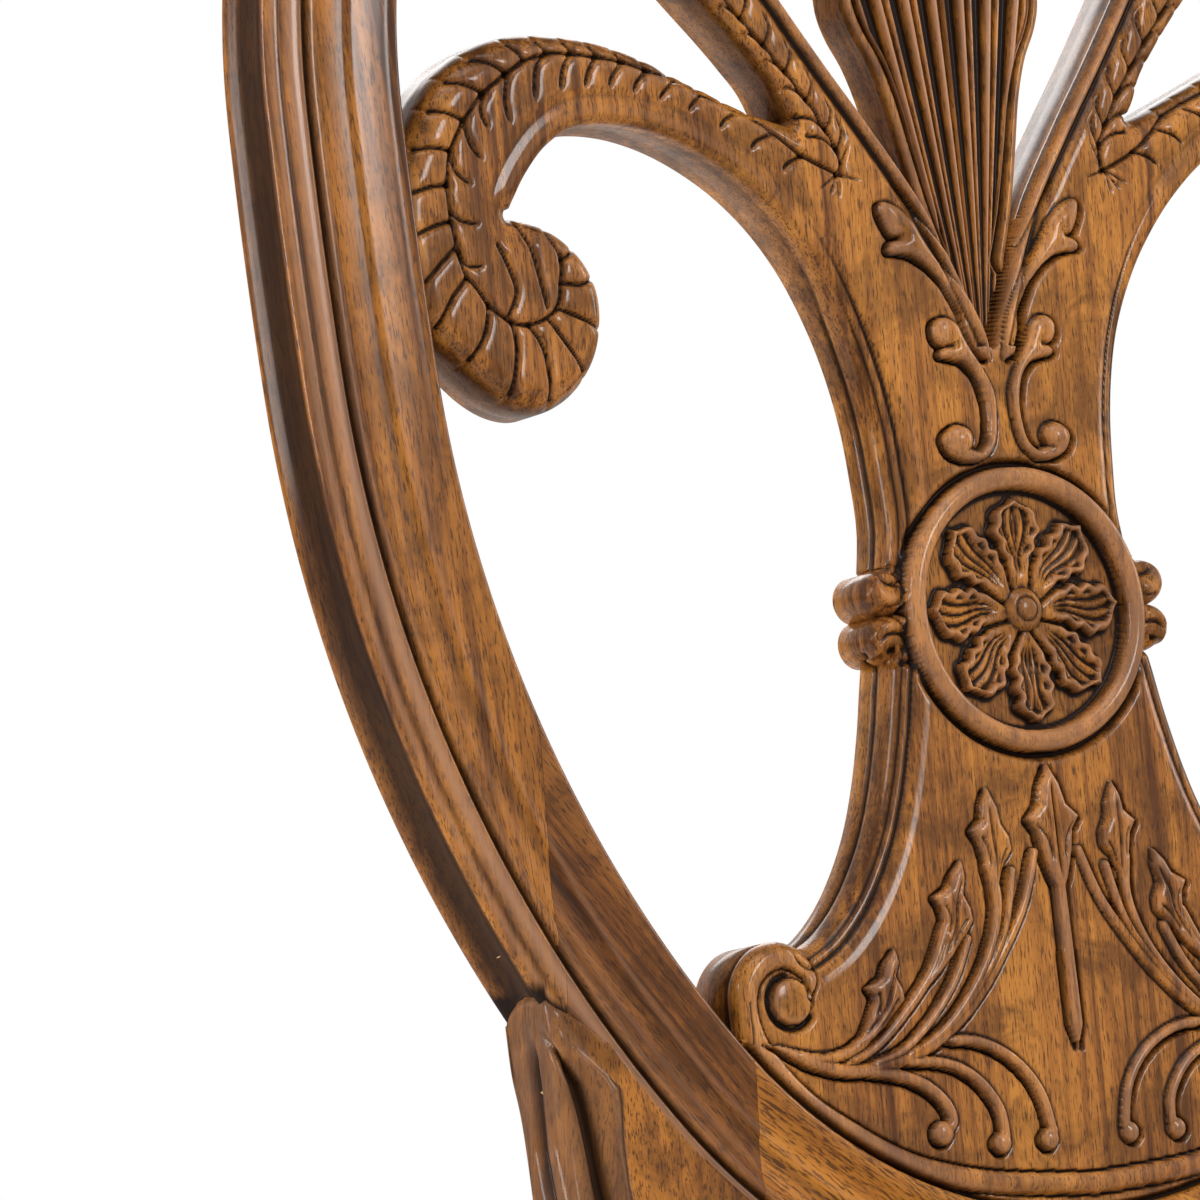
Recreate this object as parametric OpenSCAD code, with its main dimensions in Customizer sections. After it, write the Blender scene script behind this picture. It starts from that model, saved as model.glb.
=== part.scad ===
// Shield-back dining chair: carved and pierced splat in a moulded shield, stuffed-over bow-front
// seat, tapered front legs with spade feet, and rear legs that run up as stiles to the shield.
// Millimetres. The floor is z = 0, the chair faces -Y, and x = 0 is its line of symmetry.

/* [Shield] */
// Width of the shield over its widest part
shield_w = 482; // [470:1:496]
// Height of the shield at its centre, measured along the raked back
shield_h = 492; // [486:1:500]
// Width of the moulded frame
frame_w = 44; // [42:0.5:46]
// Thickness of the frame behind its moulding
frame_t = 24; // [22:0.5:28]
// Rake of the back from upright, in degrees
back_rake = 12; // [9:0.5:14]
// Height of the shield's lowest point above the floor
shield_z = 516; // [510:1:530]
// Radius of the side above its widest point
top_side_r = 260; // [240:5:300]
// Radius of the side just below its widest point
mid_side_r = 1500; // [1300:50:1800]
// Radius of the long lower curve of the side
low_side_r = 380; // [370:1:390]
// Radius of the raised middle of the crest
crest_r = 446; // [430:2:460]
// Radius of the hollows at the two ends of the crest
crest_hollow_r = 241; // [232:1:250]
// Turn of the raised middle of the crest, each way from its centre, in degrees
crest_turn = 18; // [17:0.25:19]

/* [Splat] */
// Thickness of the splat
splat_t = 22; // [20:0.5:23]
// Depth of the front layer, which is set in from the edge
edge_depth = 8; // [5:0.5:10]
// How far the front layer is set in from the edge
edge_in = 3; // [2:0.25:4]
// Height of the medallion's centre above the bottom of the shield
medallion_v = 222; // [218:1:226]
// Inner radius of the medallion's ring
medallion_r = 36; // [34:0.5:36.5]
// Width of the medallion's ring
ring_w = 6.5; // [5:0.5:7]
// Number of petals in the medallion's rosette
petals = 8; // [6:1:10]
// Half the width of the reeded fan at the crest
fan_half_w = 36; // [34:0.5:40]
// How far the fan's face lies behind the splat's face
fan_back = 5; // [4:0.5:7]
// Number of grooves in the fan
fan_grooves = 11; // [9:2:13]
// Width of each groove of the fan at the crest
fan_groove_w = 4.6; // [3.5:0.1:5]

/* [Seat] */
// Height of the seat rails' top above the floor
rail_top = 426; // [418:1:436]
// Height of the seat rails
rail_h = 62; // [56:1:70]
// Thickness of the seat rails
rail_t = 24; // [20:0.5:26]
// Width of the seat frame at the front
seat_front_w = 500; // [490:2:520]
// Width of the seat frame at the back
seat_back_w = 364; // [360:1:370]
// Depth of the seat frame, from the stiles' front faces to the front legs' front faces
seat_d = 420; // [400:2:430]
// Bow of the front rail
seat_bow = 26; // [20:1:32]
// Height of the stuffing over the rails at its crown
stuffing_h = 42; // [34:1:50]
// Thickness of the cover cloth
cloth_t = 1.5; // [1.2:0.1:2]
// Pitch of the brass nails
nail_pitch = 20; // [16:1:26]
// Radius of a brass nail's head
nail_r = 4.5; // [4:0.1:5.5]

/* [Legs] */
// Side of the square head of a front leg
leg_top_w = 42; // [40:0.5:46]
// Side of a front leg at its ankle
leg_ankle_w = 23; // [20:0.5:26]
// Height of the spade foot
foot_h = 62; // [50:1:70]
// Side of the spade foot at its widest
foot_w = 33; // [30:0.5:36]
// Thickness of the stiles, from side to side at the seat
stile_w = 42; // [38:0.5:44]
// Depth of a rear leg at the seat
stile_d = 38; // [36:0.5:42]
// How far the rear feet stand behind the seat
rear_kick = 92; // [70:1:104]
// Radius of the nylon glides
glide_r = 9; // [7:0.5:10]

/* [Joints] */
// Gap left for the glue in every joint
glue_gap = 0.1; // [0.05:0.05:0.2]
// Radius of a dowel
dowel_r = 4; // [3.5:0.25:4.5]
// Length of a dowel
dowel_l = 26; // [22:1:28]
// Thickness of the tenons
tenon_t = 9; // [8:0.5:10]
// Length of the seat rails' tenons
tenon_l = 16; // [12:0.5:17]
// Length of the splat's tenons
splat_tenon_l = 12; // [8:0.5:14]

/* [Hidden] */
$fn = 64;
eps = 0.01;
wood = "#7a4a22";
pale_wood = "#b98f5c";
glide_h = 4;

// Shield outline, in the plane of the back: u to the right, v up the back from the shield's foot.
// The mid curve turns further in a taller shield, so that the widest part stays at the same share.
drawn_w = 482;
drawn_h = 492;
half_w = shield_w / 2;
mid_turn = 3 + 19 * (shield_h / shield_w * drawn_w / drawn_h - 1);
low_turn = 40;
mid_u = -half_w + mid_side_r;
low_u = mid_u - (mid_side_r - low_side_r) * cos(mid_turn);
foot_r = low_side_r - low_u / cos(low_turn);
wide_v = foot_r + (low_side_r - foot_r) * sin(low_turn) + (mid_side_r - low_side_r) * sin(mid_turn);
top_c = [-half_w + top_side_r, wide_v];
mid_c = [mid_u, wide_v];
low_c = [low_u, wide_v - (mid_side_r - low_side_r) * sin(mid_turn)];
foot_c = [0, foot_r];
crest_c = [0, shield_h - crest_r];
hollow_c = crest_c + (crest_r + crest_hollow_r) * [-sin(crest_turn), cos(crest_turn)];

// Where two circles cross, on the side of the lower u
function crossing(a, ra, b, rb) =
    let (d = norm(b - a), x = (d * d + ra * ra - rb * rb) / (2 * d), h = sqrt(ra * ra - x * x),
        e = (b - a) / d, n = [-e[1], e[0]], p = a + x * e + h * n, q = a + x * e - h * n)
    p[0] < q[0] ? p : q;
mitre_out = crossing(top_c, top_side_r, hollow_c, crest_hollow_r);
mitre_in = crossing(top_c, top_side_r - frame_w, hollow_c, crest_hollow_r + frame_w);
mitre_dir = (mitre_in - mitre_out) / norm(mitre_in - mitre_out);

// The frame's two glue lines on each side: side to block, and block to bottom rail
side_joint_u = half_w * 0.73;
block_joint_u = (foot_r - frame_w) * cos(low_turn) - 0.9;
frame_mid_w = -frame_t / 2;

// Moulded section of the frame, as [distance in from the outer edge, height over the splat's face]
section = [
    [1.5, -frame_t], [0, -frame_t + 1.5], [0, -2.4], [2, -0.4], [6.4, -1.8], [8.6, 2.2],
    [10.5, 3.6], [12.6, 3], [15.6, -0.6], [20, -0.2], [30, 2.2], [frame_w - 3, 3],
    [frame_w, 0.8], [frame_w, -frame_t + 1.5], [frame_w - 1.5, -frame_t]];

// Places along Y: the back's plane crosses the shield's foot at back_y
back_slope = tan(back_rake);
stile_front = 0;
back_y = stile_front + (shield_z - rail_top) * back_slope;
crest_back_y = back_y + (shield_h - 1.5) * sin(back_rake) + frame_t * cos(back_rake);
seat_front = stile_front - seat_d;
nail_h = nail_r * 0.62 + glue_gap;
foremost = seat_front - seat_bow - 0.4 - cloth_t - nail_h;
middle_y = (foremost + crest_back_y) / 2;
rail_bottom = rail_top - rail_h;
splay = atan((seat_front_w - seat_back_w) / 2 / (seat_d - leg_top_w));

// Smooth curve through points, n steps to each stretch
function bend(p0, p1, p2, p3, t) =
    0.5 * (2 * p1 + (p2 - p0) * t + (2 * p0 - 5 * p1 + 4 * p2 - p3) * t * t
        + (3 * p1 - p0 - 3 * p2 + p3) * t * t * t);
function curve(p, n = 2) = let (e = len(p) - 1) [
    for (i = [0:e - 1]) for (k = [0:n - 1])
        bend(p[max(i - 1, 0)], p[i], p[i + 1], p[min(i + 2, e)], k / n), p[e]];
function mirrored(p) = [for (i = [len(p) - 1:-1:0]) if (abs(p[i][0]) > eps) [-p[i][0], p[i][1]]];
function arc(c, r, a, b, step = 2.5) = let (n = max(1, ceil(abs(b - a) / step)))
    [for (i = [0:n]) c + r * [cos(a + (b - a) * i / n), sin(a + (b - a) * i / n)]];
function turn(c, p) = atan2(p[1] - c[1], p[0] - c[0]);

// The whole chair is centred front to back; the back's plane faces the front of the chair
module centred() translate([0, -middle_y, 0]) children();
module on_back() translate([0, back_y, shield_z]) rotate([90 - back_rake, 0, 0]) children();
module both_sides() {
    children();
    mirror([1, 0, 0]) children();
}

// A moulded run is a list of rings; each ring holds the section's points on their own arcs.
// c is the arc's centre, r its radius at the outer edge, side 1 where the frame lies within it.
function level(a) = [for (p = section) a];
function upright(c, r, u) = [for (p = section) 180 + acos((c[0] - u) / (r - p[0]))];
function on_mitre(c, r, side) = [for (p = section)
    let (e = mitre_out - c, q = r - side * p[0], b = e * mitre_dir,
        t = -b - side * sqrt(b * b - e * e + q * q), a = turn(c, mitre_out + t * mitre_dir))
    a < 0 ? a + 360 : a];
function rings_on(c, r, side, from, to, n) = [for (k = [0:n]) [for (i = [0:len(section) - 1])
    let (a = from[i] + (to[i] - from[i]) * k / n, q = r - side * section[i][0])
    [c[0] + q * cos(a), c[1] + q * sin(a), section[i][1]]]];
function but_first(p) = [for (i = [1:len(p) - 1]) p[i]];
function moved(ring, d) = [for (p = ring) p + d];
function flipped(rings) = [for (i = [len(rings) - 1:-1:0]) [for (p = rings[i]) [-p[0], p[1], p[2]]]];
module run(rings) {
    m = len(rings);
    n = len(section);
    polyhedron(
        points = [for (r = rings) for (p = r) p],
        faces = concat(
            [[for (i = [n - 1:-1:0]) i]], [[for (i = [0:n - 1]) (m - 1) * n + i]],
            [for (k = [0:m - 2]) for (i = [0:n - 1]) let (a = k * n + i, b = k * n + (i + 1) % n)
                each [[a, b, b + n], [a, b + n, a + n]]]));
}
// The block and the bottom rail are swept a little long, then sawn off at their joints
saw_waste = 3;
module sawn_left_of(u) translate([u - 40, 0, -60]) cube([40, shield_h, 120]);
side_rings = concat(
    [for (r = [rings_on(top_c, top_side_r, 1, on_mitre(top_c, top_side_r, 1), level(180), 8)])
        each concat([moved(r[0], glue_gap * [mitre_dir[1], -mitre_dir[0], 0])], but_first(r))],
    but_first(rings_on(mid_c, mid_side_r, 1, level(180), level(180 + mid_turn), 3)),
    but_first(rings_on(low_c, low_side_r, 1, level(180 + mid_turn),
        upright(low_c, low_side_r, -side_joint_u), 14)));
block_rings = concat(
    rings_on(low_c, low_side_r, 1, upright(low_c, low_side_r, -saw_waste - side_joint_u),
        level(180 + low_turn), 4),
    but_first(rings_on(foot_c, foot_r, 1, level(180 + low_turn),
        upright(foot_c, foot_r, -block_joint_u), 3)));
bottom_half = rings_on(foot_c, foot_r, 1, upright(foot_c, foot_r, -saw_waste - block_joint_u),
    level(270), 9);
bottom_rings = concat(bottom_half, but_first(flipped(bottom_half)));
crest_half = concat(
    rings_on(crest_c, crest_r, 1, level(90), level(90 + crest_turn), 10),
    but_first(rings_on(hollow_c, crest_hollow_r, -1, level(270 + crest_turn),
        on_mitre(hollow_c, crest_hollow_r, -1), 7)));
crest_rings = concat(flipped(but_first(crest_half)), crest_half);

module dowel_at(p, angle, grow = 0, l = dowel_l)
    translate([p[0], p[1], frame_mid_w]) rotate([0, 90, angle]) {
        if (grow == 0) cylinder(r = dowel_r, h = l, center = true, $fn = 32);
        else linear_extrude(l + 8 * grow, center = true)
            polygon(arc([0, 0], dowel_r + grow, 11, 349, 22.6));
    }
mitre_mid = (mitre_in + mitre_out) / 2;
mitre_angle = atan2(mitre_dir[0], -mitre_dir[1]);
side_dowels = [[-side_joint_u, 135], [-side_joint_u, 160]];
block_dowels = [[-block_joint_u, 58], [-block_joint_u, 75]];
module left_shield_dowels(grow = 0) {
    dowel_at(mitre_mid, mitre_angle, grow);
    for (p = side_dowels) dowel_at(p, 0, grow);
    for (p = block_dowels) dowel_at(p, 0, grow);
}
// Dowels from each stile into the shield, square to the shield's outer edge
stile_dowel_turns = [215.4, 218.8];
stile_dowel_l = dowel_l * 0.72;
module left_stile_dowels(grow = 0) for (a = stile_dowel_turns)
    dowel_at(low_c + low_side_r * [cos(a), sin(a)], a, grow, stile_dowel_l);

// Inner edge of the frame as a closed line, moved in by gap
inner_low_turn = 180 + low_turn;
function inner_edge(gap) = let (
    w = frame_w + gap, corner = crossing(top_c, top_side_r - w, hollow_c, crest_hollow_r + w),
    left = concat(
        arc(foot_c, foot_r - w, 270, inner_low_turn),
        arc(low_c, low_side_r - w, inner_low_turn, 180 + mid_turn),
        arc(mid_c, mid_side_r - w, 180 + mid_turn, 180, 1),
        arc(top_c, top_side_r - w, 180, turn(top_c, corner)),
        arc(hollow_c, crest_hollow_r + w, turn(hollow_c, corner) + 360, 270 + crest_turn, 1),
        arc(crest_c, crest_r - w, 90 + crest_turn, 90, 1)))
    concat(left, mirrored(left));

// Splat outline, left half, from the shield's foot round the openings to the fan. It is drawn for
// the drawn sizes below and stretched to the shield's own sizes.
side_in = half_w - frame_w;
drawn_side_in = 197;
fit_u = side_in / drawn_side_in;
fit_v = shield_h / drawn_h;
function fitted(points) = [for (p = points) [p[0] * fit_u, p[1] * fit_v]];
volute_edge = curve([[-118, 92], [-118.6, 104], [-118.4, 115], [-115.5, 122], [-110, 127.2],
    [-103, 129.3], [-96, 128.6], [-90, 126.5]]);
low_bay = curve([[-90, 126.5], [-82, 131], [-74, 138.5], [-67, 148], [-60.5, 160], [-55.3, 174],
    [-51, 190], [-48.5, 202], [-46.5, 211]]);
high_bay = curve([[-44.5, 237], [-42.6, 250], [-43, 264], [-44.4, 280], [-47.6, 296], [-52.5, 311],
    [-59.5, 326], [-68.5, 339], [-79, 349.5], [-90, 357.3], [-102, 363.5], [-115, 367.6],
    [-128, 369], [-139, 367.5], [-148, 362.5], [-155, 355.5], [-160, 348.5], [-162, 343]]);
scroll_edge = curve([[-162, 343], [-153, 341], [-145, 337], [-138.5, 331], [-134.5, 323.5],
    [-133.4, 315], [-135.3, 305], [-140, 296.5], [-147.5, 289.5], [-157, 285.6], [-166, 286.5],
    [-175, 291.2], [-184, 299.5], [-196, 312], [-200, 325], [-202, 337], [-201, 350],
    [-195, 363], [-189, 373.5], [-182, 382.5], [-173.5, 389],
    [-163, 393.8], [-152, 396], [-140, 396], [-125, 394], [-110, 389.2], [-95, 382.5],
    [-80, 375.8], [-70, 371.5], [-62, 369]]);
branch_left = curve([[-62, 369], [-66.5, 380], [-72.5, 388], [-80, 396.8], [-88.5, 406],
    [-98, 416.5], [-108, 428], [-118, 440]]);
branch_right = curve([[-90, 449], [-79, 432], [-70, 418.5], [-61, 405], [-53.5, 394], [-46, 383.3],
    [-38.5, 373], [-31.5, 363], [-25, 353.5], [-19, 344], [-13.8, 333.5], [-9.5, 323.5],
    [-5.5, 314], [-2.2, 305.5], [0, 299]]);
splat_half = fitted(concat([[0, 20], [-118, 20]], volute_edge, low_bay, high_bay, scroll_edge,
    branch_left, branch_right));
splat_line = concat(splat_half, mirrored(splat_half));
fan_foot = [0, 292 * fit_v];
fan_side = curve([[-6, 308], [-12, 327], [-17, 343], [-21, 360], [-24.5, 376], [-28.5, 388],
    [-33, 396.5], [-35.5, 404], [-36, 412]]);
drawn_fan_w = 36;
fan_half = concat([fan_foot], [for (p = fan_side) [p[0] * fan_half_w / drawn_fan_w, p[1] * fit_v]],
    [[-fan_half_w, shield_h], [0, shield_h]]);
fan_line = concat(fan_half, mirrored(fan_half));
knot_r = 7 * fit_u;
knot_u = -47 * fit_u;
knots = [[knot_u, medallion_v - 6.3 * fit_u], [knot_u, medallion_v + 6.9 * fit_u]];

// Tenons of the splat: [u, v of the shoulder, width], each tied to the frame's inner edge
crest_in_r = crest_r - frame_w;
function crest_under(u) = crest_c[1] + sqrt(crest_in_r * crest_in_r - u * u);
foot_in = frame_w;
branch_tenon_u = 92 * fit_u;
splat_tenons = [[0, crest_under(0), 40 * fit_u, 1],
    [-branch_tenon_u, crest_under(branch_tenon_u), 13 * fit_u, 1],
    [branch_tenon_u, crest_under(branch_tenon_u), 13 * fit_u, 1], [0, foot_in, 90 * fit_u, -1]];
tenon_in = 6;
module splat_tenon_set(grow = 0)
    for (t = splat_tenons) {
        low = t[3] > 0 ? -tenon_in : -splat_tenon_l;
        high = t[3] > 0 ? splat_tenon_l : tenon_in;
        translate([t[0] - t[2] / 2 - grow, t[1] + low - grow, -splat_t / 2 - tenon_t / 2 - grow])
            cube([t[2] + 2 * grow, high - low + 2 * grow, tenon_t + 2 * grow]);
    }

// Fan: a plate behind the splat's face, with grooves that fan out from its foot
module fan() {
    groove_l = shield_h - fan_foot[1];
    difference() {
        translate([0, 0, -splat_t]) linear_extrude(splat_t - fan_back) intersection() {
            polygon(fan_line);
            polygon(inner_edge(glue_gap));
        }
        for (i = [0:fan_grooves - 1]) {
            share = (i - (fan_grooves - 1) / 2) / (fan_grooves / 2);
            lean = atan(share * (fan_half_w + 5) / groove_l);
            translate([fan_foot[0], fan_foot[1], -fan_back]) rotate([0, 0, lean])
                rotate([-90, 0, 0]) cylinder(r1 = 0.5, r2 = fan_groove_w / 2, h = groove_l + 20,
                    $fn = 12);
        }
    }
}
module splat_layer(from, to, set_in)
    translate([0, 0, from]) linear_extrude(to - from) intersection() {
        offset(delta = -set_in) union() {
            polygon(splat_line);
            both_sides() for (k = knots) translate(k) circle(knot_r);
        }
        polygon(inner_edge(glue_gap));
    }
module petal() {
    // Leaf of two arcs, domed by a large ball
    l = medallion_r - 4;
    half = l * tan(180 / petals) * 0.62;
    r = (l * l / 4 + half * half) / (2 * half);
    ball_r = 60;
    intersection() {
        translate([l / 2, half - r, -3]) cylinder(r = r, h = 6, $fn = 36);
        translate([l / 2, r - half, -3]) cylinder(r = r, h = 6, $fn = 36);
        translate([l * 0.55, 0, -ball_r + 1]) rotate([0, 90, 0]) sphere(r = ball_r, $fn = 48);
    }
}
module rosette() {
    for (i = [0:petals - 1]) rotate([0, 0, 360 / petals * i]) petal();
    translate([0, 0, -3]) cylinder(r = 6, h = 5);
}
module splat() color(wood) centred() on_back() {
    medallion = [0, medallion_v, 0];
    difference() {
        union() {
            splat_layer(-splat_t, -edge_depth + eps, 0);
            splat_layer(-edge_depth, 0, edge_in);
        }
        translate(medallion + [0, 0, -3]) cylinder(r = medallion_r, h = 10);
    }
    fan();
    translate(medallion + [0, 0, -2]) rosette();
    translate(medallion) rotate_extrude($fn = 48) translate([medallion_r + ring_w / 2, -0.5])
        circle(ring_w / 2, $fn = 10);
    splat_tenon_set();
}

module crest_rail() color(wood) centred() on_back() difference() {
    run(crest_rings);
    both_sides() left_shield_dowels(glue_gap);
    splat_tenon_set(glue_gap);
}
module left_side_piece() difference() {
    run(side_rings);
    left_shield_dowels(glue_gap);
    left_stile_dowels(glue_gap);
}
module left_block_piece() difference() {
    run(block_rings);
    sawn_left_of(glue_gap - side_joint_u);
    left_shield_dowels(glue_gap);
    left_stile_dowels(glue_gap);
}
module shield_side_left() color(wood) centred() on_back() left_side_piece();
module shield_side_right() color(wood) centred() on_back() mirror([1, 0, 0]) left_side_piece();
module shield_block_left() color(wood) centred() on_back() left_block_piece();
module shield_block_right() color(wood) centred() on_back() mirror([1, 0, 0]) left_block_piece();
module shield_bottom_rail() color(wood) centred() on_back() difference() {
    run(bottom_rings);
    both_sides() sawn_left_of(glue_gap - block_joint_u);
    both_sides() left_shield_dowels(glue_gap);
    splat_tenon_set(glue_gap);
}
module shield_dowels() color(pale_wood) centred() on_back() both_sides() left_shield_dowels();
module stile_dowels() color(pale_wood) centred() on_back() both_sides() left_stile_dowels();

// Rear leg, as level sections: [height, outer side, width, front, depth]
stile_out = seat_back_w / 2;
leaf_v = 119;
leaf_z = shield_z + leaf_v * cos(back_rake);
function back_face(z) = back_y + (z - shield_z) * back_slope;
stile_depth = (frame_t + 2) / cos(back_rake);
stile_proud = 3;
leg_stations = [
    [glide_h, stile_out + 5, 27, rear_kick + 7, 28],
    [60, stile_out + 4, 28.5, rear_kick * 0.74 + 3, 29.5],
    [130, stile_out + 2.5, 31, rear_kick * 0.48, 32],
    [210, stile_out + 1.2, 35, rear_kick * 0.24, 34.5],
    [290, stile_out + 0.4, stile_w - 2, rear_kick * 0.075, 37],
    [rail_bottom - 8, stile_out, stile_w, 0, stile_d],
    [rail_top, stile_out, stile_w, 0, stile_d],
    [rail_top + 36, stile_out - 2, stile_w - 1, back_face(rail_top + 36) - stile_proud, 33],
    [shield_z - 6, stile_out - 2.6, stile_w, back_face(shield_z - 6) - stile_proud, stile_depth + 2],
    [shield_z + 40, stile_out - 2.6, stile_w + 6, back_face(shield_z + 40) - stile_proud,
        stile_depth + 2],
    [shield_z + 72, stile_out - 2, stile_w + 2, back_face(shield_z + 72) - stile_proud,
        stile_depth + 2],
    [shield_z + 98, stile_out + 0.5, stile_w - 8, back_face(shield_z + 98) - stile_proud,
        stile_depth + 1],
    [leaf_z, stile_out + 1.5, 6, back_face(leaf_z) - stile_proud, stile_depth]];
corner_cut = 4;
function leg_ring(s) = let (o = s[1], i = s[1] - s[2], f = s[3], b = s[3] + s[4],
    c = min(corner_cut, s[2] / 4), h = c * 0.3)
    [[-o, f + c], [-o + h, f + h], [-o + c, f], [-(o + i) / 2, f], [-i - c, f], [-i - h, f + h],
        [-i, f + c], [-i, (f + b) / 2], [-i, b - c], [-i - h, b - h], [-i - c, b],
        [-(o + i) / 2, b], [-o + c, b], [-o + h, b - h], [-o, b - c], [-o, (f + b) / 2]];
module left_leg_blank() {
    rows = curve(leg_stations, 2);
    m = len(rows);
    n = 16;
    polyhedron(
        points = [for (r = rows) for (p = leg_ring(r)) [p[0], p[1], r[0]]],
        faces = concat(
            [[for (i = [0:n - 1]) i]], [[for (i = [n - 1:-1:0]) (m - 1) * n + i]],
            [for (k = [0:m - 2]) for (i = [0:n - 1]) let (a = k * n + i, b = k * n + (i + 1) % n)
                each [[a, a + n, b + n], [a, b + n, b]]]));
}
// Everything inside the shield's outer edge, as a thick plate in the plane of the back
module shield_plate() translate([0, 0, -60]) linear_extrude(120) {
    far = foot_r * 2;
    low_line = [cos(180 + low_turn), sin(180 + low_turn)];
    intersection() {
        translate(low_c) circle(low_side_r + glue_gap, $fn = 180);
        polygon([low_c, low_c + 2 * low_side_r * low_line, low_c + [-2 * low_side_r, 0]]);
    }
    intersection() {
        translate(foot_c) circle(foot_r + glue_gap, $fn = 180);
        polygon([foot_c, foot_c + far * low_line, foot_c + [-foot_r, -far], foot_c + [0, -far]]);
    }
}

// Seat rails, with tenons along their own length
back_rail_y = stile_front + 6;
side_c = [-(seat_front_w + seat_back_w) / 4, seat_front / 2 + stile_front / 2];
inner_leg_x = seat_front_w / 2 - leg_top_w;
front_leg_c = [-(seat_front_w - leg_top_w) / 2, seat_front + leg_top_w / 2];
rail_tenon_h = rail_h - 20;
tenon_z = rail_bottom + 10;
module back_rail_solid(grow = 0) {
    x = stile_out - stile_w + glue_gap;
    if (grow == 0)
        translate([-x + 2 * glue_gap, back_rail_y, rail_bottom])
            cube([2 * x - 4 * glue_gap, rail_t, rail_h]);
    translate([-x - tenon_l - grow, back_rail_y + rail_t / 2 - tenon_t / 2 - grow, tenon_z - grow])
        cube([2 * (x + tenon_l + grow), tenon_t + 2 * grow, rail_tenon_h + 2 * grow]);
}
// Left side rail: laid along the splay, its outer face flush with the legs
side_from = stile_front - glue_gap;
side_to = seat_front + leg_top_w + glue_gap;
side_out_back = stile_out;
function side_x(y) = -side_out_back - (stile_front - y) * tan(splay);
module side_rail_solid() {
    in = rail_t / cos(splay);
    translate([0, 0, rail_bottom]) linear_extrude(rail_h)
        polygon([[side_x(side_from) + 1, side_from], [side_x(side_to) + 1, side_to],
            [side_x(side_to) + 1 + in, side_to], [side_x(side_from) + 1 + in, side_from]]);
}
module side_tenons(grow = 0) {
    in = rail_t / 2 / cos(splay) + 1;
    half = tenon_t / 2 / cos(splay) + grow;
    reach = tenon_l + grow;
    translate([0, 0, tenon_z - grow]) linear_extrude(rail_tenon_h + 2 * grow)
        for (r = [[side_from - 4, side_from + reach], [side_to - reach, side_to + 4]])
            polygon([[side_x(r[0]) + in - half, r[0]], [side_x(r[0]) + in + half, r[0]],
                [side_x(r[1]) + in + half, r[1]], [side_x(r[1]) + in - half, r[1]]]);
}
// Bowed front rail, flush with the fronts of the legs at its ends
bow_half = inner_leg_x - glue_gap;
bow_r = (bow_half * bow_half + seat_bow * seat_bow) / (2 * seat_bow);
bow_c = [0, seat_front - seat_bow + bow_r];
front_y = seat_front + 1;
module front_rail_solid() translate([0, 0, rail_bottom]) linear_extrude(rail_h) {
    translate([-bow_half, front_y]) square([2 * bow_half, rail_t]);
    intersection() {
        translate(bow_c + [0, 1]) circle(bow_r, $fn = 360);
        translate([-bow_half, seat_front - seat_bow]) square([2 * bow_half, seat_bow + rail_t]);
    }
}
module front_tenons(grow = 0)
    translate([-bow_half - tenon_l - grow, front_y + rail_t / 2 - tenon_t / 2 - grow,
        tenon_z - grow])
        cube([2 * (bow_half + tenon_l + grow), tenon_t + 2 * grow, rail_tenon_h + 2 * grow]);
module back_rail() color(wood) centred() back_rail_solid();
module front_rail() color(wood) centred() {
    front_rail_solid();
    front_tenons();
}
module left_side_rail() {
    side_rail_solid();
    side_tenons();
}
module side_rail_left() color(wood) centred() left_side_rail();
module side_rail_right() color(wood) centred() mirror([1, 0, 0]) left_side_rail();

// Front leg: square head, long taper with three flutes to a face, and a spade foot
taper_top = rail_bottom - 6;
flute_r = 2.2;
module square_at(z, w) translate([-w / 2, -w / 2, z]) cube([w, w, eps]);
module front_leg_blank() {
    difference() {
        translate([-leg_top_w / 2, -leg_top_w / 2, taper_top])
            cube([leg_top_w, leg_top_w, rail_top - taper_top]);
        translate([-leg_top_w / 2, -leg_top_w / 2, skirt_z - 1]) difference() {
            translate([-1, -1, 0]) cube([head_r + 1, head_r + 1, rail_h]);
            translate([head_r, head_r, -1]) cylinder(r = head_r, h = rail_h + 2);
        }
    }
    hull() {
        square_at(foot_h - 4, leg_ankle_w);
        square_at(taper_top, leg_top_w);
    }
    hull() {
        square_at(foot_h - 2, leg_ankle_w + 5);
        square_at(foot_h - 8, leg_ankle_w + 5);
    }
    hull() {
        square_at(foot_h - 8, leg_ankle_w + 1);
        square_at(foot_h * 0.62, foot_w);
    }
    hull() {
        square_at(foot_h * 0.62, foot_w);
        square_at(glide_h, leg_ankle_w + 1);
    }
}
module leg_flutes() {
    run = taper_top - foot_h - 60;
    lean = atan((leg_top_w - leg_ankle_w) / 2 / (taper_top - foot_h));
    mid_z = foot_h + 22 + run / 2;
    mid_w = leg_ankle_w + (leg_top_w - leg_ankle_w) * (mid_z - foot_h) / (taper_top - foot_h);
    for (side = [0, 90]) rotate([0, 0, side]) for (k = [-1:1])
        translate([k * mid_w * 0.27, -mid_w / 2 - 0.6, mid_z])
            rotate([lean, k * lean * 0.54, 0]) {
                cylinder(r = flute_r, h = run, center = true, $fn = 24);
                for (e = [-1, 1]) translate([0, 0, e * run / 2]) sphere(flute_r, $fn = 24);
            }
}
module left_front_leg() difference() {
    translate([front_leg_c[0], front_leg_c[1], 0]) difference() {
        front_leg_blank();
        leg_flutes();
    }
    front_tenons(glue_gap);
    side_tenons(glue_gap);
    left_screws(screw_gap);
}
module front_leg_left() color(wood) centred() left_front_leg();
module front_leg_right() color(wood) centred() mirror([1, 0, 0]) left_front_leg();

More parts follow.
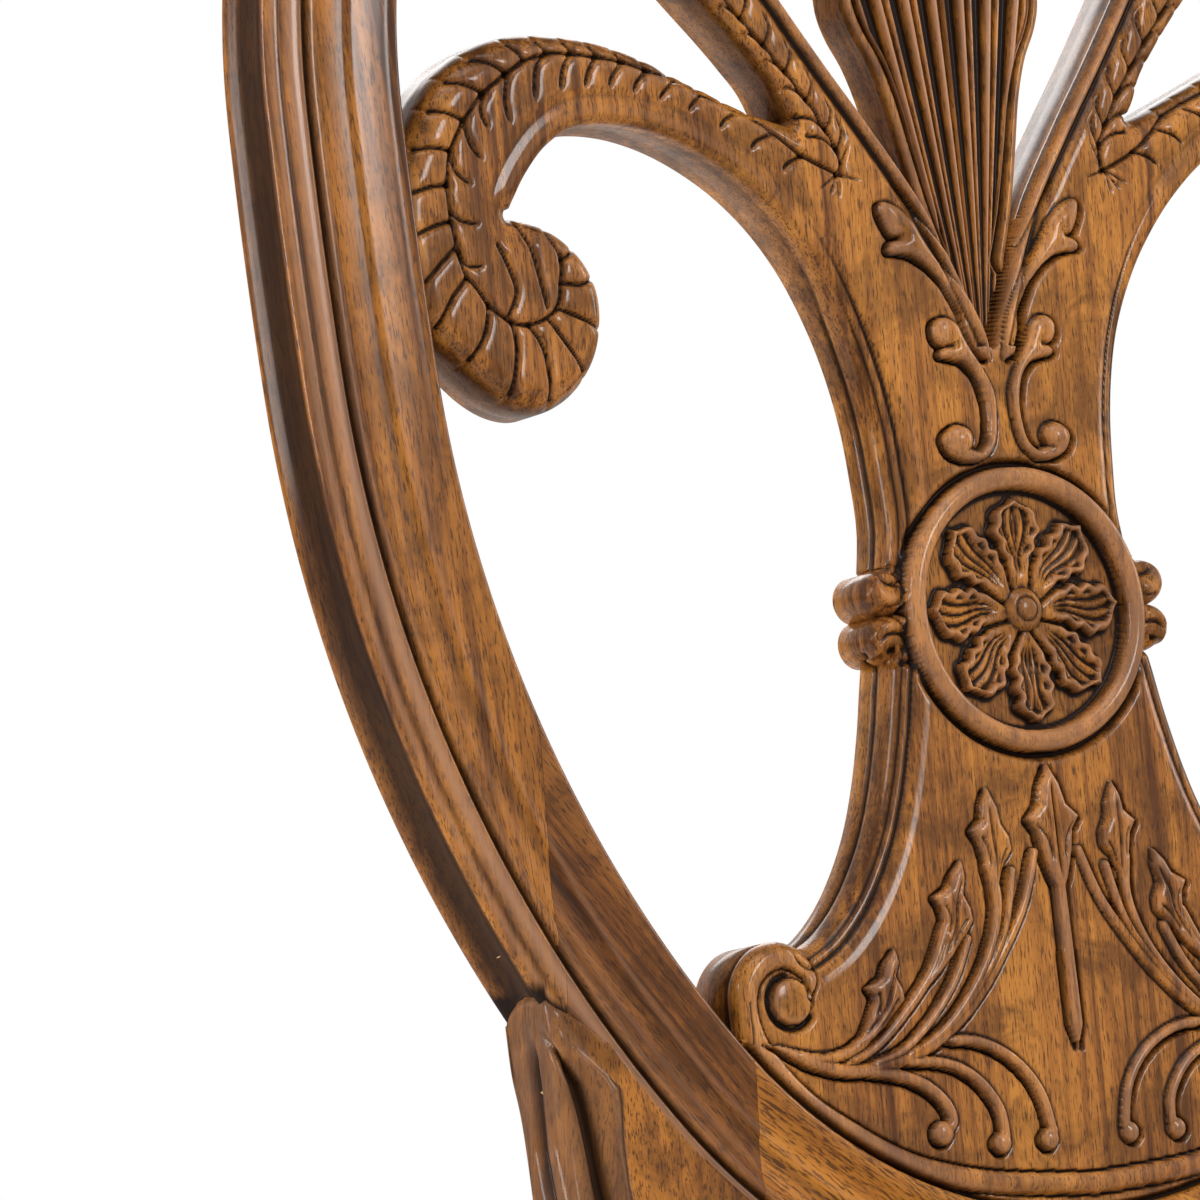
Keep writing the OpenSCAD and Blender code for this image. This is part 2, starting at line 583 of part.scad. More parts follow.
module left_rear_leg() difference() {
    left_leg_blank();
    on_back() shield_plate();
    on_back() left_stile_dowels(glue_gap);
    back_rail_solid(glue_gap);
    side_tenons(glue_gap);
    left_screws(screw_gap);
}
module rear_leg_left() color(wood) centred() left_rear_leg();
module rear_leg_right() color(wood) centred() mirror([1, 0, 0]) left_rear_leg();

// Corner blocks, glued and screwed inside the frame
block_h = 34;
block_z = rail_top - 8 - block_h;
block_leg = 62;
screw_r = 2;
screw_gap = 0.05;
front_in = front_y + rail_t;
back_in = back_rail_y;
function side_in_x(y) = side_x(y) + 1 + rail_t / cos(splay);
module left_block() {
    difference() {
        translate([0, 0, block_z]) linear_extrude(block_h) polygon([
            [side_in_x(front_in + block_leg) + glue_gap, front_in + block_leg],
            [side_in_x(front_in + leg_top_w - rail_t) + glue_gap, front_in + leg_top_w - rail_t],
            [front_leg_c[0] + leg_top_w / 2 + glue_gap, front_in + leg_top_w - rail_t],
            [front_leg_c[0] + leg_top_w / 2 + glue_gap, front_in + glue_gap],
            [side_in_x(front_in) + block_leg, front_in + glue_gap]]);
        left_screws(screw_gap);
    }
    difference() {
        translate([0, 0, block_z]) linear_extrude(block_h) polygon([
            [side_in_x(-block_leg) + glue_gap, -block_leg],
            [side_in_x(-glue_gap) + glue_gap, -1], [-stile_out + stile_w + glue_gap, -1],
            [-stile_out + stile_w + glue_gap, back_in - glue_gap],
            [-stile_out + stile_w + block_leg * 0.8, back_in - glue_gap]]);
        left_screws(screw_gap);
    }
}
// Screws through the blocks into the legs, each aimed at a point just inside its leg's corner
screw_l = 42;
front_aim = [front_leg_c[0] + leg_top_w / 2, front_in + 5];
rear_aim = [stile_w - stile_out, stile_front + 1];
module one_screw(aim, angle, grow)
    translate([aim[0], aim[1], block_z + block_h / 2]) rotate([0, 90, angle]) {
        translate([0, 0, -12 - grow]) cylinder(r = screw_r + grow, h = screw_l, $fn = 24);
        translate([0, 0, screw_l - 13]) cylinder(r = screw_r * 2 + grow, h = 3, $fn = 24);
    }
module left_screws(grow = 0) {
    one_screw(front_aim, 45, grow);
    one_screw(rear_aim, -45, grow);
}
module corner_blocks() color(pale_wood) centred() both_sides() left_block();
module corner_screws() color("silver") centred() both_sides() left_screws();

// Seat plan: closed line round the frame, moved out by grow, with notches for the stiles.
// Each point is [x, y, 1 where the cover hangs down over a rail, 0 where it stops at the stile].
notch = 1.2;
slack = 0.4;
cover_face = slack + cloth_t;
tongue_back = back_rail_y + rail_t;
leg_back = seat_front + leg_top_w;
head_r = 8;
function hung(p) = [for (q = p) [q[0], q[1], 1]];
function seat_line(grow) = let (
    fx = seat_front_w / 2 + grow, bx = stile_out + grow, r = bow_r + grow,
    lead = notch + cover_face - grow, y1 = -lead, x1 = stile_out - stile_w - lead,
    back = tongue_back + grow, a = asin(inner_leg_x / r),
    corner = [-seat_front_w / 2 + head_r, seat_front + head_r],
    left = concat(
        hung(arc(bow_c, r, 270, 270 - a, 2)),
        hung(arc(corner, head_r + grow, 270, 180, 22.5)),
        [for (i = [0:6]) [-fx + (fx - bx) * i / 6, leg_back + (y1 - leg_back) * i / 6, 1]],
        [[-bx + 0.3, y1, 0], [-bx + 14, y1, 0], [-x1 - 12, y1, 0], [-x1, y1, 0],
            [-x1, back / 2, 0], [-x1, back - 0.3, 0]],
        [for (i = [0:5]) [-x1 * (1 - i / 6), back, 1]]))
    concat(left, [[0, back, 1]], [for (q = [len(left) - 1:-1:1]) [-left[q][0], left[q][1], left[q][2]]]);
seat_c = [0, seat_front / 2];
web_t = 1.2;
base_t = 0.2;
stuff_z = rail_top + 2 * web_t + base_t;
roll = 16;
skirt_z = rail_bottom + 3;
// Height of the crowned top at share t of the way out, for a body that swells by grow
function crown(t, grow) = stuff_z + roll + grow + (stuffing_h - roll) * (1 - pow(t, 2.6));
shares = [0.965, 0.89, 0.75, 0.55, 0.3];
function inward(line, t, z) = [for (p = line)
    [seat_c[0] + (p[0] - seat_c[0]) * t, seat_c[1] + (p[1] - seat_c[1]) * t, z]];
function dome(grow) = let (line = seat_line(grow)) concat(
    inward(line, 1, stuff_z + roll * 0.35), inward(line, 0.992, stuff_z + roll * 0.8),
    [for (t = shares) each inward(line, t, crown(t, grow))],
    [[seat_c[0], seat_c[1], crown(0, grow)]]);
function wall(from, to, n, flip = false) = [for (i = [0:n - 1])
    let (a = from + i, b = from + (i + 1) % n, c = to + i, d = to + (i + 1) % n)
    each (flip ? [[a, d, b], [a, c, d]] : [[a, b, d], [a, d, c]])];
function walls(from, rows, n, flip) = [for (k = [0:rows - 1]) each
    wall(from + k * n, from + (k + 1) * n, n, flip)];
function cap(ring, tip, n, flip = false) = [for (i = [0:n - 1])
    flip ? [ring + i, tip, ring + (i + 1) % n] : [ring + i, ring + (i + 1) % n, tip]];
dome_rows = len(shares) + 2;
module seat_stuffing() color("#e8e0cc") centred() {
    line = seat_line(0);
    n = len(line);
    tip = n * (dome_rows + 1);
    polyhedron(
        points = concat(inward(line, 1, stuff_z), dome(0), [[seat_c[0], seat_c[1], stuff_z]]),
        faces = concat(cap(0, tip + 1, n, true), walls(0, dome_rows, n, false),
            cap(dome_rows * n, tip, n, false)));
}
function hem(grow) = [for (p = seat_line(grow)) [p[0], p[1], p[2] == 1 ? skirt_z : rail_top + 0.3]];
module seat_cover() color("#e9dfc6") centred() {
    n = len(seat_line(0));
    base = n * (dome_rows + 1) + 1;
    polyhedron(
        points = concat(hem(slack), dome(slack), hem(cover_face), dome(cover_face)),
        faces = concat(
            wall(0, base, n, false),
            walls(0, dome_rows, n, true), cap(dome_rows * n, base - 1, n, true),
            walls(base, dome_rows, n, false),
            cap(base + dome_rows * n, 2 * base - 1, n, false)));
}

// Brass nails along the foot of the cover, front and sides
nail_z = skirt_z + 8;
module nail() intersection() {
    translate([0, 0, -nail_r * 0.5]) sphere(nail_r * 1.12, $fn = 32);
    cylinder(r = nail_r, h = nail_r, $fn = 32);
}
module nail_at(p, angle)
    translate([p[0], p[1], nail_z]) rotate([0, 90, angle]) translate([0, 0, glue_gap]) nail();
module cover_nails() color("#c9a24a") centred() {
    r = bow_r + cover_face;
    turn_each = asin(inner_leg_x / r);
    half_n = round(turn_each / 180 * PI * r / nail_pitch);
    for (i = [-half_n:half_n]) {
        a = 270 + turn_each * i / half_n;
        nail_at(bow_c + r * [cos(a), sin(a)], a);
    }
    fx = seat_front_w / 2 + cover_face;
    from = [-fx, leg_back];
    to = [-stile_out - cover_face, -notch];
    side_n = floor(norm(to - from) / nail_pitch);
    both_sides() {
        nail_at([-seat_front_w / 2 + head_r + 12, seat_front - cover_face], 270);
        nail_at([-fx, seat_front + head_r + 12], 180);
        for (i = [0:side_n - 1]) nail_at(from + (to - from) * (i + 0.5) / side_n,
            180 - atan((to[0] - from[0]) / (to[1] - from[1])));
    }
}

// Webbing: strips across, with strips from front to back laid over them
web_w = 50;
module webbing() color("#b7a27a") centred() {
    for (i = [0:4]) {
        y = seat_front + 60 + i * 76;
        x = -side_x(y) - 6;
        translate([-x, y - web_w / 2, rail_top]) cube([2 * x, web_w, web_t]);
    }
    for (i = [-2:2]) translate([i * 62 - web_w / 2, seat_front + 8, rail_top + web_t])
        cube([web_w, seat_d + 14, web_t]);
}
module base_cloth() color("#c8b48a") centred() translate([0, 0, rail_top + 2 * web_t])
    linear_extrude(base_t) polygon([for (p = seat_line(-6)) [p[0], p[1]]]);

// Thin cloth tacked under the rails, cut round the legs
module dust_cover() color("#2a2826") centred() {
    leg_in = leg_top_w + 1;
    translate([0, 0, rail_bottom - 0.8]) linear_extrude(0.8) difference() {
        polygon([[side_x(seat_front) + 6, seat_front + 8], [-side_x(seat_front) - 6, seat_front + 8],
            [stile_out - 4, tongue_back - 4], [4 - stile_out, tongue_back - 4]]);
        both_sides() {
            translate([-seat_front_w / 2 - 5, seat_front - 5]) square([leg_in + 5, leg_in + 5]);
            translate([-stile_out - 20, -3]) square([stile_w + 22, 60]);
        }
    }
}

// Nylon glides under the feet
rear_foot_c = [13.5 - stile_out - 5, rear_kick + 7 + 14];
module left_glides() for (p = [front_leg_c, rear_foot_c])
    translate([p[0], p[1], 0]) cylinder(r1 = glide_r - 1, r2 = glide_r, h = glide_h, $fn = 32);
module foot_glides() color("#5a5048") centred() both_sides() left_glides();

crest_rail();
shield_side_left();
shield_side_right();
shield_block_left();
shield_block_right();
shield_bottom_rail();
splat();
rear_leg_left();
rear_leg_right();
front_leg_left();
front_leg_right();
front_rail();
back_rail();
side_rail_left();
side_rail_right();
corner_blocks();
corner_screws();
shield_dowels();
stile_dowels();
webbing();
base_cloth();
seat_stuffing();
seat_cover();
cover_nails();
dust_cover();
foot_glides();
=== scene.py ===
"""Shield-back dining chair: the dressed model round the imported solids.

The carved back is worked in its own plane, in millimetres: u to the right, v up the raked back from
the shield's foot, and w forward from the splat's face. The left half is modelled and mirrored.
"""
import math

import bpy
import numpy as np
from mathutils import Matrix, Vector, geometry


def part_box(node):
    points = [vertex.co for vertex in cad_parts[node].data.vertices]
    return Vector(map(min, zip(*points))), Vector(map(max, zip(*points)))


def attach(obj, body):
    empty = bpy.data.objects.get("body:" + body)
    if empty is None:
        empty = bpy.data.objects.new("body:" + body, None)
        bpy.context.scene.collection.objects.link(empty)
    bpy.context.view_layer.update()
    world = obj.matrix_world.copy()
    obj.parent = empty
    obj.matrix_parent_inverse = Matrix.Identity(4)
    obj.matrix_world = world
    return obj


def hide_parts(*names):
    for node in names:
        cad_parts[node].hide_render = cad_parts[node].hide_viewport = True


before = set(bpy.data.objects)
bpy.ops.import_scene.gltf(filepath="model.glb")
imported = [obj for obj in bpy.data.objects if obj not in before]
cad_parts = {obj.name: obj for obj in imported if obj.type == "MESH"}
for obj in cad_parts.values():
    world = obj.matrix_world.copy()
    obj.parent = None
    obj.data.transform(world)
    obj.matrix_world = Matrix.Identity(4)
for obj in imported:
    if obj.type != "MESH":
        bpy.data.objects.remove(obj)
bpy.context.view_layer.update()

# Driving sizes of the shield, in millimetres, as the solids have them
SHIELD_W = 482
SHIELD_H = 492
SHIELD_Z = 516
FRAME_W = 44
FRAME_T = 24
RAKE = math.radians(12)
TOP_SIDE_R = 260
MID_SIDE_R = 1500
LOW_SIDE_R = 380
CREST_R = 446
HOLLOW_R = 241
CREST_TURN = 18
MID_TURN = 3
LOW_TURN = 40
SIDE_JOINT_U = 0.73 * SHIELD_W / 2
GLUE_GAP = 0.1
SPLAT_T = 22
MEDALLION = np.array([0, 222])
RING_IN = 36
RING_W = 6.5
FAN_BACK = 5
KNOTS = [(-47, 215.7), (-47, 228.9)]
KNOT_R = 7

# Where the back's plane crosses the shield's foot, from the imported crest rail
BACK_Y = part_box("crest_rail")[1][1] * 1000 - (SHIELD_H - 1.5) * math.sin(RAKE) - FRAME_T * math.cos(RAKE)


def place(p):
    """Points (u, v, w) of the back, in millimetres, as points of the chair in metres."""
    p = np.asarray(p, float)
    u, v, w = p[..., 0], p[..., 1], p[..., 2]
    y = BACK_Y + v * math.sin(RAKE) - w * math.cos(RAKE)
    z = SHIELD_Z + v * math.cos(RAKE) + w * math.sin(RAKE)
    return np.stack([u, y, z], axis=-1) / 1000


def spline(points, steps=8):
    """Smooth curve through points, with the given steps to each stretch."""
    p = np.array(points, float)
    p = np.vstack([p[:1], p, p[-1:]])
    t = np.linspace(0, 1, steps, endpoint=False)[:, None]
    stretches = [
        0.5 * (2 * b + (c - a) * t + (2 * a - 5 * b + 4 * c - d) * t * t + (3 * b - a - 3 * c + d) * t ** 3)
        for a, b, c, d in zip(p[:-3], p[1:-2], p[2:-1], p[3:])]
    return np.vstack(stretches + [p[-1:]])


def smooth(x, low, high):
    """0 below low, 1 above high, and an even slope between."""
    t = np.clip((x - low) / (high - low), 0, 1)
    return t * t * (3 - 2 * t)


def swell(d, wide):
    """1 where d is 0, falling off to both sides."""
    return np.exp(-(d / wide) ** 2)


# Shield outline: centres and radii of its arcs
HALF_W = SHIELD_W / 2
MID_U = MID_SIDE_R - HALF_W
LOW_U = MID_U - (MID_SIDE_R - LOW_SIDE_R) * math.cos(math.radians(MID_TURN))
FOOT_R = LOW_SIDE_R - LOW_U / math.cos(math.radians(LOW_TURN))
LOW_V = FOOT_R + (LOW_SIDE_R - FOOT_R) * math.sin(math.radians(LOW_TURN))
WIDE_V = LOW_V + (MID_SIDE_R - LOW_SIDE_R) * math.sin(math.radians(MID_TURN))
TOP_C = np.array([TOP_SIDE_R - HALF_W, WIDE_V])
MID_C = np.array([MID_U, WIDE_V])
LOW_C = np.array([LOW_U, LOW_V])
FOOT_C = np.array([0, FOOT_R])
CREST_C = np.array([0, SHIELD_H - CREST_R])
HOLLOW_C = CREST_C + (CREST_R + HOLLOW_R) * np.array(
    [-math.sin(math.radians(CREST_TURN)), math.cos(math.radians(CREST_TURN))])
BLOCK_JOINT_U = (FOOT_R - FRAME_W) * math.cos(math.radians(LOW_TURN)) - 0.9


def crossing(a, ra, b, rb):
    """Where two circles cross, on the side of the lower u."""
    d = np.linalg.norm(b - a)
    x = (d * d + ra * ra - rb * rb) / (2 * d)
    h = math.sqrt(ra * ra - x * x)
    e = (b - a) / d
    n = np.array([-e[1], e[0]])
    return min(a + x * e + h * n, a + x * e - h * n, key=lambda p: p[0])


MITRE_OUT = crossing(TOP_C, TOP_SIDE_R, HOLLOW_C, HOLLOW_R)
MITRE_IN = crossing(TOP_C, TOP_SIDE_R - FRAME_W, HOLLOW_C, HOLLOW_R + FRAME_W)
MITRE_DIR = (MITRE_IN - MITRE_OUT) / np.linalg.norm(MITRE_IN - MITRE_OUT)


def arc(c, r, start, end, step=1.0):
    """Points on an arc, its turns in degrees."""
    n = max(1, math.ceil(abs(end - start) / step))
    t = np.radians(np.linspace(start, end, n + 1))
    return np.stack([c[0] + r * np.cos(t), c[1] + r * np.sin(t)], axis=1)


def turn(c, p):
    """Turn of a point round a centre, in degrees."""
    return math.degrees(math.atan2(p[1] - c[1], p[0] - c[0]))


# Mesh helpers


def in_scene(name, data):
    """A new object of the scene from its data."""
    obj = bpy.data.objects.new(name, data)
    bpy.context.scene.collection.objects.link(obj)
    return obj


def new_object(name, verts, faces, material, smooth_faces=True):
    """An object at the origin from points in metres and lists or arrays of faces."""
    mesh = bpy.data.meshes.new(name)
    mesh.from_pydata(np.asarray(verts).tolist(), [], [list(map(int, f)) for f in faces])
    mesh.validate()
    mesh.polygons.foreach_set("use_smooth", [smooth_faces] * len(mesh.polygons))
    mesh.update()
    mesh.materials.append(material)
    return in_scene(name, mesh)


def strips_between(rows, n):
    """Quads between closed rows of n points each, from the number of each row's first point."""
    here = np.arange(n)
    ahead = (here + 1) % n
    strips = [np.stack([a + here, a + ahead, b + ahead, b + here], axis=1) for a, b in zip(rows, rows[1:])]
    return np.vstack(strips).tolist()


def slab_faces(rows, cols):
    """Faces of a slab whose points are one side's grid and then the other side's, and the first rim."""
    spot = np.arange(rows * cols).reshape(rows, cols)
    side = np.stack([spot[:-1, :-1], spot[1:, :-1], spot[1:, 1:], spot[:-1, 1:]], axis=-1).reshape(-1, 4)
    rim = np.concatenate([spot[0, :-1], spot[:-1, -1], spot[-1, :0:-1], spot[:0:-1, 0]])
    ahead = np.roll(rim, -1)
    walls = np.stack([rim, ahead, ahead + spot.size, rim + spot.size], axis=-1)
    return np.vstack([side, side[:, ::-1] + spot.size, walls]).tolist(), rim


def mesh_points(obj):
    """An object's points as an array, in metres."""
    flat = np.empty(len(obj.data.vertices) * 3, dtype=np.float32)
    obj.data.vertices.foreach_get("co", flat)
    return flat.reshape(-1, 3).astype(float)


def point_values(obj, name, values):
    """A float attribute on an object's points."""
    layer = obj.data.attributes.new(name, "FLOAT", "POINT")
    layer.data.foreach_set("value", np.asarray(values, dtype=np.float32))


def sharpen(obj, *chosen):
    """Marks as sharp the edges whose two ends are both among the chosen points."""
    mesh = obj.data
    marked = np.zeros(len(mesh.vertices), bool)
    for part in chosen:
        marked[part] = True
    ends = np.empty(len(mesh.edges) * 2, dtype=np.int32)
    mesh.edges.foreach_get("vertices", ends)
    layer = mesh.attributes.new("sharp_edge", "BOOLEAN", "EDGE")
    layer.data.foreach_set("value", marked[ends.reshape(-1, 2)].all(axis=1))


def turned_over(piece):
    """Mirrors a piece in place, to the other side of the chair."""
    piece.data.transform(Matrix.Scale(-1, 4, Vector((1, 0, 0))))
    piece.data.flip_normals()
    return piece


def mirrored_copy(piece, name):
    """The same piece on the other side of the chair."""
    return turned_over(in_scene(name, piece.data.copy()))


def dress(piece, slot, *nodes):
    """Rides a piece on the chair and hides the solids that it stands for; slot, its finish, is not used."""
    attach(piece, "root")
    if nodes:
        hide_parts(*nodes)
    return piece


# Materials


class Nodes:
    """Short calls for building a material's nodes."""

    def __init__(self, name):
        self.material = bpy.data.materials.new(name)
        self.material.use_nodes = True
        self.tree = self.material.node_tree
        self.shader = self.tree.nodes["Principled BSDF"]

    def fill(self, node, key, value):
        """Sets or links one input of a node."""
        if isinstance(value, bpy.types.NodeSocket):
            self.tree.links.new(value, node.inputs[key])
        else:
            node.inputs[key].default_value = value

    def add(self, kind, inputs=None, **settings):
        node = self.tree.nodes.new(kind)
        for key, value in settings.items():
            setattr(node, key, value)
        for key, value in (inputs or {}).items():
            self.fill(node, key, value)
        return node

    def put(self, key, value):
        """Sets or links one input of the surface shader."""
        self.fill(self.shader, key, value)

    def coords(self, turned=(0, 0, 0), scale=(1, 1, 1), moved=(0, 0, 0)):
        place_in = self.add("ShaderNodeTexCoord").outputs["Object"]
        turned_by = self.add("ShaderNodeMapping", inputs={
            "Vector": place_in, "Rotation": turned, "Location": moved})
        return self.add("ShaderNodeMapping", inputs={
            "Vector": turned_by.outputs[0], "Scale": scale}).outputs[0]

    def noise(self, vector, scale, detail=4.0, rough=0.55, distort=0.0):
        return self.add("ShaderNodeTexNoise", inputs={
            "Vector": vector, "Scale": scale, "Detail": detail, "Roughness": rough,
            "Distortion": distort}).outputs["Fac"]

    def ramp(self, value, *stops):
        """A colour ramp; each stop is (place, colour), and a colour may be one grey number."""
        node = self.add("ShaderNodeValToRGB", inputs={"Fac": value})
        line = node.color_ramp
        while len(line.elements) < len(stops):
            line.elements.new(0.5)
        for stop, (at, colour) in zip(line.elements, stops):
            stop.position = at
            colour = (colour,) * 3 if isinstance(colour, (int, float)) else colour
            stop.color = (*colour, 1)
        return node.outputs["Color"]

    def maths(self, kind, a, b=0.5):
        return self.add("ShaderNodeMath", operation=kind, inputs={0: a, 1: b}).outputs[0]

    def mix(self, amount, a, b):
        a, b = ((*colour, 1) if isinstance(colour, tuple) else colour for colour in (a, b))
        return self.add("ShaderNodeMix", data_type="RGBA", inputs={0: amount, 6: a, 7: b}).outputs[2]

    def bump(self, *layers):
        """Stacks bumps; each layer is (height, strength, distance in metres)."""
        normal = None
        for height, strength, distance in layers:
            inputs = {"Height": height, "Strength": strength, "Distance": distance}
            if normal is not None:
                inputs["Normal"] = normal
            normal = self.add("ShaderNodeBump", inputs=inputs).outputs[0]
        self.put("Normal", normal)


# Tones that every wood shares: its open pores, a paler tone painted where highlights fall, and a near-black
# tone in the cuts that is painted shade with some old polish
PORE_TONE = (0.045, 0.016, 0.006)
PAINTED_SHEEN_TONE = (0.43, 0.225, 0.13)
PATINA_AND_SHADE_TONE = (0.012, 0.006, 0.004)
PORE_SHARE = 0.78
PAINTED_SHEEN_SHARE = 0.75


def wood(name, light, mid, dark, turned=(0, 0, 0), moved=(0, 0, 0), figure=0.5, shut=0.53):
    """Lacquered wood with its grain along the mapping's Z axis.

    figure is the strength of its clouds, and shut the noise level under which its pores are closed.
    """
    n = Nodes(name)
    flat = n.coords(turned, (1, 1, 1), moved)
    broad = n.coords(turned, (30, 30, 3), moved)
    streak = n.coords(turned, (320, 320, 9), moved)
    pore = n.coords(turned, (1700, 1700, 190), moved)
    bands = n.noise(broad, 1.0, 4, 0.6, 0.7)
    streaks = n.noise(streak, 1.0, 4, 0.6, 0.3)
    clouds = n.noise(flat, 42, 5, 0.65, 0.8)
    pores = n.noise(pore, 1.0, 3, 0.6)
    tone = n.maths("ADD", n.maths("MULTIPLY", bands, 0.5), n.maths("MULTIPLY", streaks, 0.5))
    colour = n.ramp(tone, (0.38, dark), (0.47, mid), (0.58, light))
    colour = n.mix(n.ramp(clouds, (0.45, 0.0), (0.62, figure)), colour, tuple(0.3 * c for c in mid))
    pits = n.ramp(pores, (shut, 0.0), (shut + 0.09, 1.0))
    colour = n.mix(n.maths("MULTIPLY", pits, PORE_SHARE), colour, PORE_TONE)
    # Painted highlight: a paler tone mixed over the grain by the points' attribute, where highlights fall
    painted_sheen = n.add("ShaderNodeAttribute", attribute_name="painted_sheen").outputs["Fac"]
    colour = n.mix(n.maths("MULTIPLY", painted_sheen, PAINTED_SHEEN_SHARE), colour, PAINTED_SHEEN_TONE)
    # Painted shade with some patina: a near-black tone mixed in by the points' attribute
    patina_and_shade = n.add("ShaderNodeAttribute", attribute_name="patina_and_shade").outputs["Fac"]
    n.put("Base Color", n.mix(patina_and_shade, colour, PATINA_AND_SHADE_TONE))
    n.put("Roughness", n.ramp(clouds, (0.3, 0.42), (0.75, 0.55)))
    n.put("Specular IOR Level", 0.03)
    n.put("Coat Weight", n.ramp(patina_and_shade, (0.3, 0.42), (0.95, 0.08)))
    n.put("Coat Roughness", 0.17)
    n.put("Coat IOR", 1.42)
    n.bump((pits, -0.14, 0.0003), (streaks, 0.16, 0.0003), (clouds, 0.1, 0.0008))
    return n.material


RED_BROWN = dict(light=(0.41, 0.152, 0.024), mid=(0.245, 0.086, 0.017), dark=(0.07, 0.023, 0.006))
GOLD_BROWN = dict(light=(0.5, 0.2, 0.036), mid=(0.33, 0.122, 0.025), dark=(0.095, 0.031, 0.008))
DEEP_BROWN = dict(light=(0.29, 0.106, 0.021), mid=(0.185, 0.062, 0.012), dark=(0.055, 0.019, 0.006))
AMBER = dict(light=(0.56, 0.225, 0.035), mid=(0.43, 0.155, 0.022), dark=(0.26, 0.085, 0.013))


def tilted(degrees):
    """Grain that leans from the back's upright, in the back's plane."""
    return (RAKE, math.radians(degrees), 0)


side_wood = wood("mahogany_side", **RED_BROWN, turned=tilted(3), moved=(0.31, 0.2, 0.07))
crest_wood = wood("mahogany_crest", **RED_BROWN, turned=tilted(90), moved=(0.11, 0.5, 0.23))
block_wood = wood("mahogany_block", **DEEP_BROWN, turned=tilted(38), moved=(0.7, 0.1, 0.4))
amber_wood = wood("mahogany_bottom", **AMBER, turned=tilted(52), moved=(0.2, 0.9, 0.6), figure=0.2, shut=0.5)
splat_wood = wood("mahogany_splat", **GOLD_BROWN, turned=tilted(-2), moved=(0.5, 0.3, 0.9), figure=0.7)
leg_wood = wood("mahogany_leg", **RED_BROWN, moved=(0.9, 0.6, 0.1))


# Moulded frame of the shield

# Section across the frame: [distance in from the outer edge, height over the splat's face, steps]
BACK_FACE = -FRAME_T
SECTION_STRETCHES = [
    [(2.2, BACK_FACE), (0.8, BACK_FACE + 0.6), (0, BACK_FACE + 2)],
    [(0, BACK_FACE + 2), (0.2, -20.6), (1.2, -18.4), (2.1, -16.4), (2.9, -13), (3.1, -9.6), (2.5, -6.2),
     (1.4, -3.8), (0.5, -2.2)],
    [(0.5, -2.2), (0.8, -0.9), (1.8, 0.1), (3.4, 0.7), (4.6, 0.85), (5.4, 0.75), (6.2, 1.3), (7.6, 2),
     (9.2, 2.35), (10.8, 2.4), (11.9, 1.8), (12.6, 0.5), (13, -0.9)],
    [(13, -0.9), (13.7, -0.9), (14.4, -0.1), (15.3, 0.6), (16.5, 0.8), (17.4, 0.55), (18, 0.15)],
    [(18, 0.15), (21, 0), (25.5, 0.2), (27, 0.55), (28.2, 1.15), (29.4, 1.4), (33, 1.8), (37, 2.5),
     (39.4, 2.95), (41, 2.95)],
    [(41, 2.95), (42.6, 2.5), (43.6, 1.7), (FRAME_W, 0.5)],
    [(FRAME_W, 0.5), (FRAME_W, -11), (FRAME_W, BACK_FACE + 2)],
    [(FRAME_W, BACK_FACE + 2), (43.4, BACK_FACE + 0.6), (42, BACK_FACE)],
]
SECTION = np.vstack([spline(stretch, 5)[:-1] for stretch in SECTION_STRETCHES]
                    + [np.linspace((42, BACK_FACE), (2.2, BACK_FACE), 9)[:-1]])
SECTION_D = SECTION[:, 0]
SECTION_H = SECTION[:, 1]
RING_STEP = 2.2


def level(angle):
    """The same turn for each of the section's points."""
    return np.full(len(SECTION), float(angle))


def upright(c, r, u):
    """Turns at which the section's points meet the plane u = const, on the left."""
    return 180 + np.degrees(np.arccos((c[0] - u) / (r - SECTION_D)))


def on_mitre(c, r, side):
    """Turns at which the section's points meet the mitre between side and crest."""
    e = MITRE_OUT - c
    q = r - side * SECTION_D
    b = e @ MITRE_DIR
    t = -b - side * np.sqrt(b * b - e @ e + q * q)
    p = MITRE_OUT[:, None] + t * MITRE_DIR[:, None]
    a = np.degrees(np.arctan2(p[1] - c[1], p[0] - c[0]))
    return np.where(a < 0, a + 360, a)


def rings_on(c, r, side, start, end):
    """Rings of the section along one arc, as an array of rings of (u, v, w)."""
    n = max(2, round(abs(np.radians(end - start)).max() * r / RING_STEP))
    a = np.radians(start + (end - start) * np.linspace(0, 1, n + 1)[:, None])
    q = r - side * SECTION_D
    height = np.broadcast_to(SECTION_H, a.shape)
    return np.stack([c[0] + q * np.cos(a), c[1] + q * np.sin(a), height], axis=-1)


def joined(*runs):
    """Runs of rings as one, each but the first without its first ring."""
    return np.vstack([runs[0]] + [run[1:] for run in runs[1:]])


def flipped(rings):
    """The rings of the other side, in the order that keeps the skin facing out."""
    return rings[::-1] * np.array([-1, 1, 1])


def shaded_bands(*bands):
    """Shares over the section that peak along some lines: (distance in, width, share at the peak)."""
    return np.max([share * swell(SECTION_D - d, wide) for d, wide, share in bands], axis=0)


def section_patina_and_shade():
    """Painted shade on the side wall, which faces away from the light, and painted shade with some patina in
    each hollow; little on the roll and the broad face.
    """
    hollow = shaded_bands((5.2, 1.2, 0.45), (13.4, 1.5, 0.95), (17.4, 0.8, 0.25), (25.4, 1.7, 0.42))
    hollow = np.maximum(np.where(SECTION_D < 13.4, 0.16, 0.0), hollow) + 0.2 * smooth(SECTION_D, 30, 37)
    side = (SECTION_D < 3.3) & (SECTION_H < -1.5)
    wall = np.interp(SECTION_H, [BACK_FACE, -22, -19, -16, -7, -3, -1],
                     [0.1, 0.2, 0.7, 0.93, 0.93, 0.85, 0.6])
    return np.where(side, wall, np.where(SECTION_H > -6, hollow, 0.3))


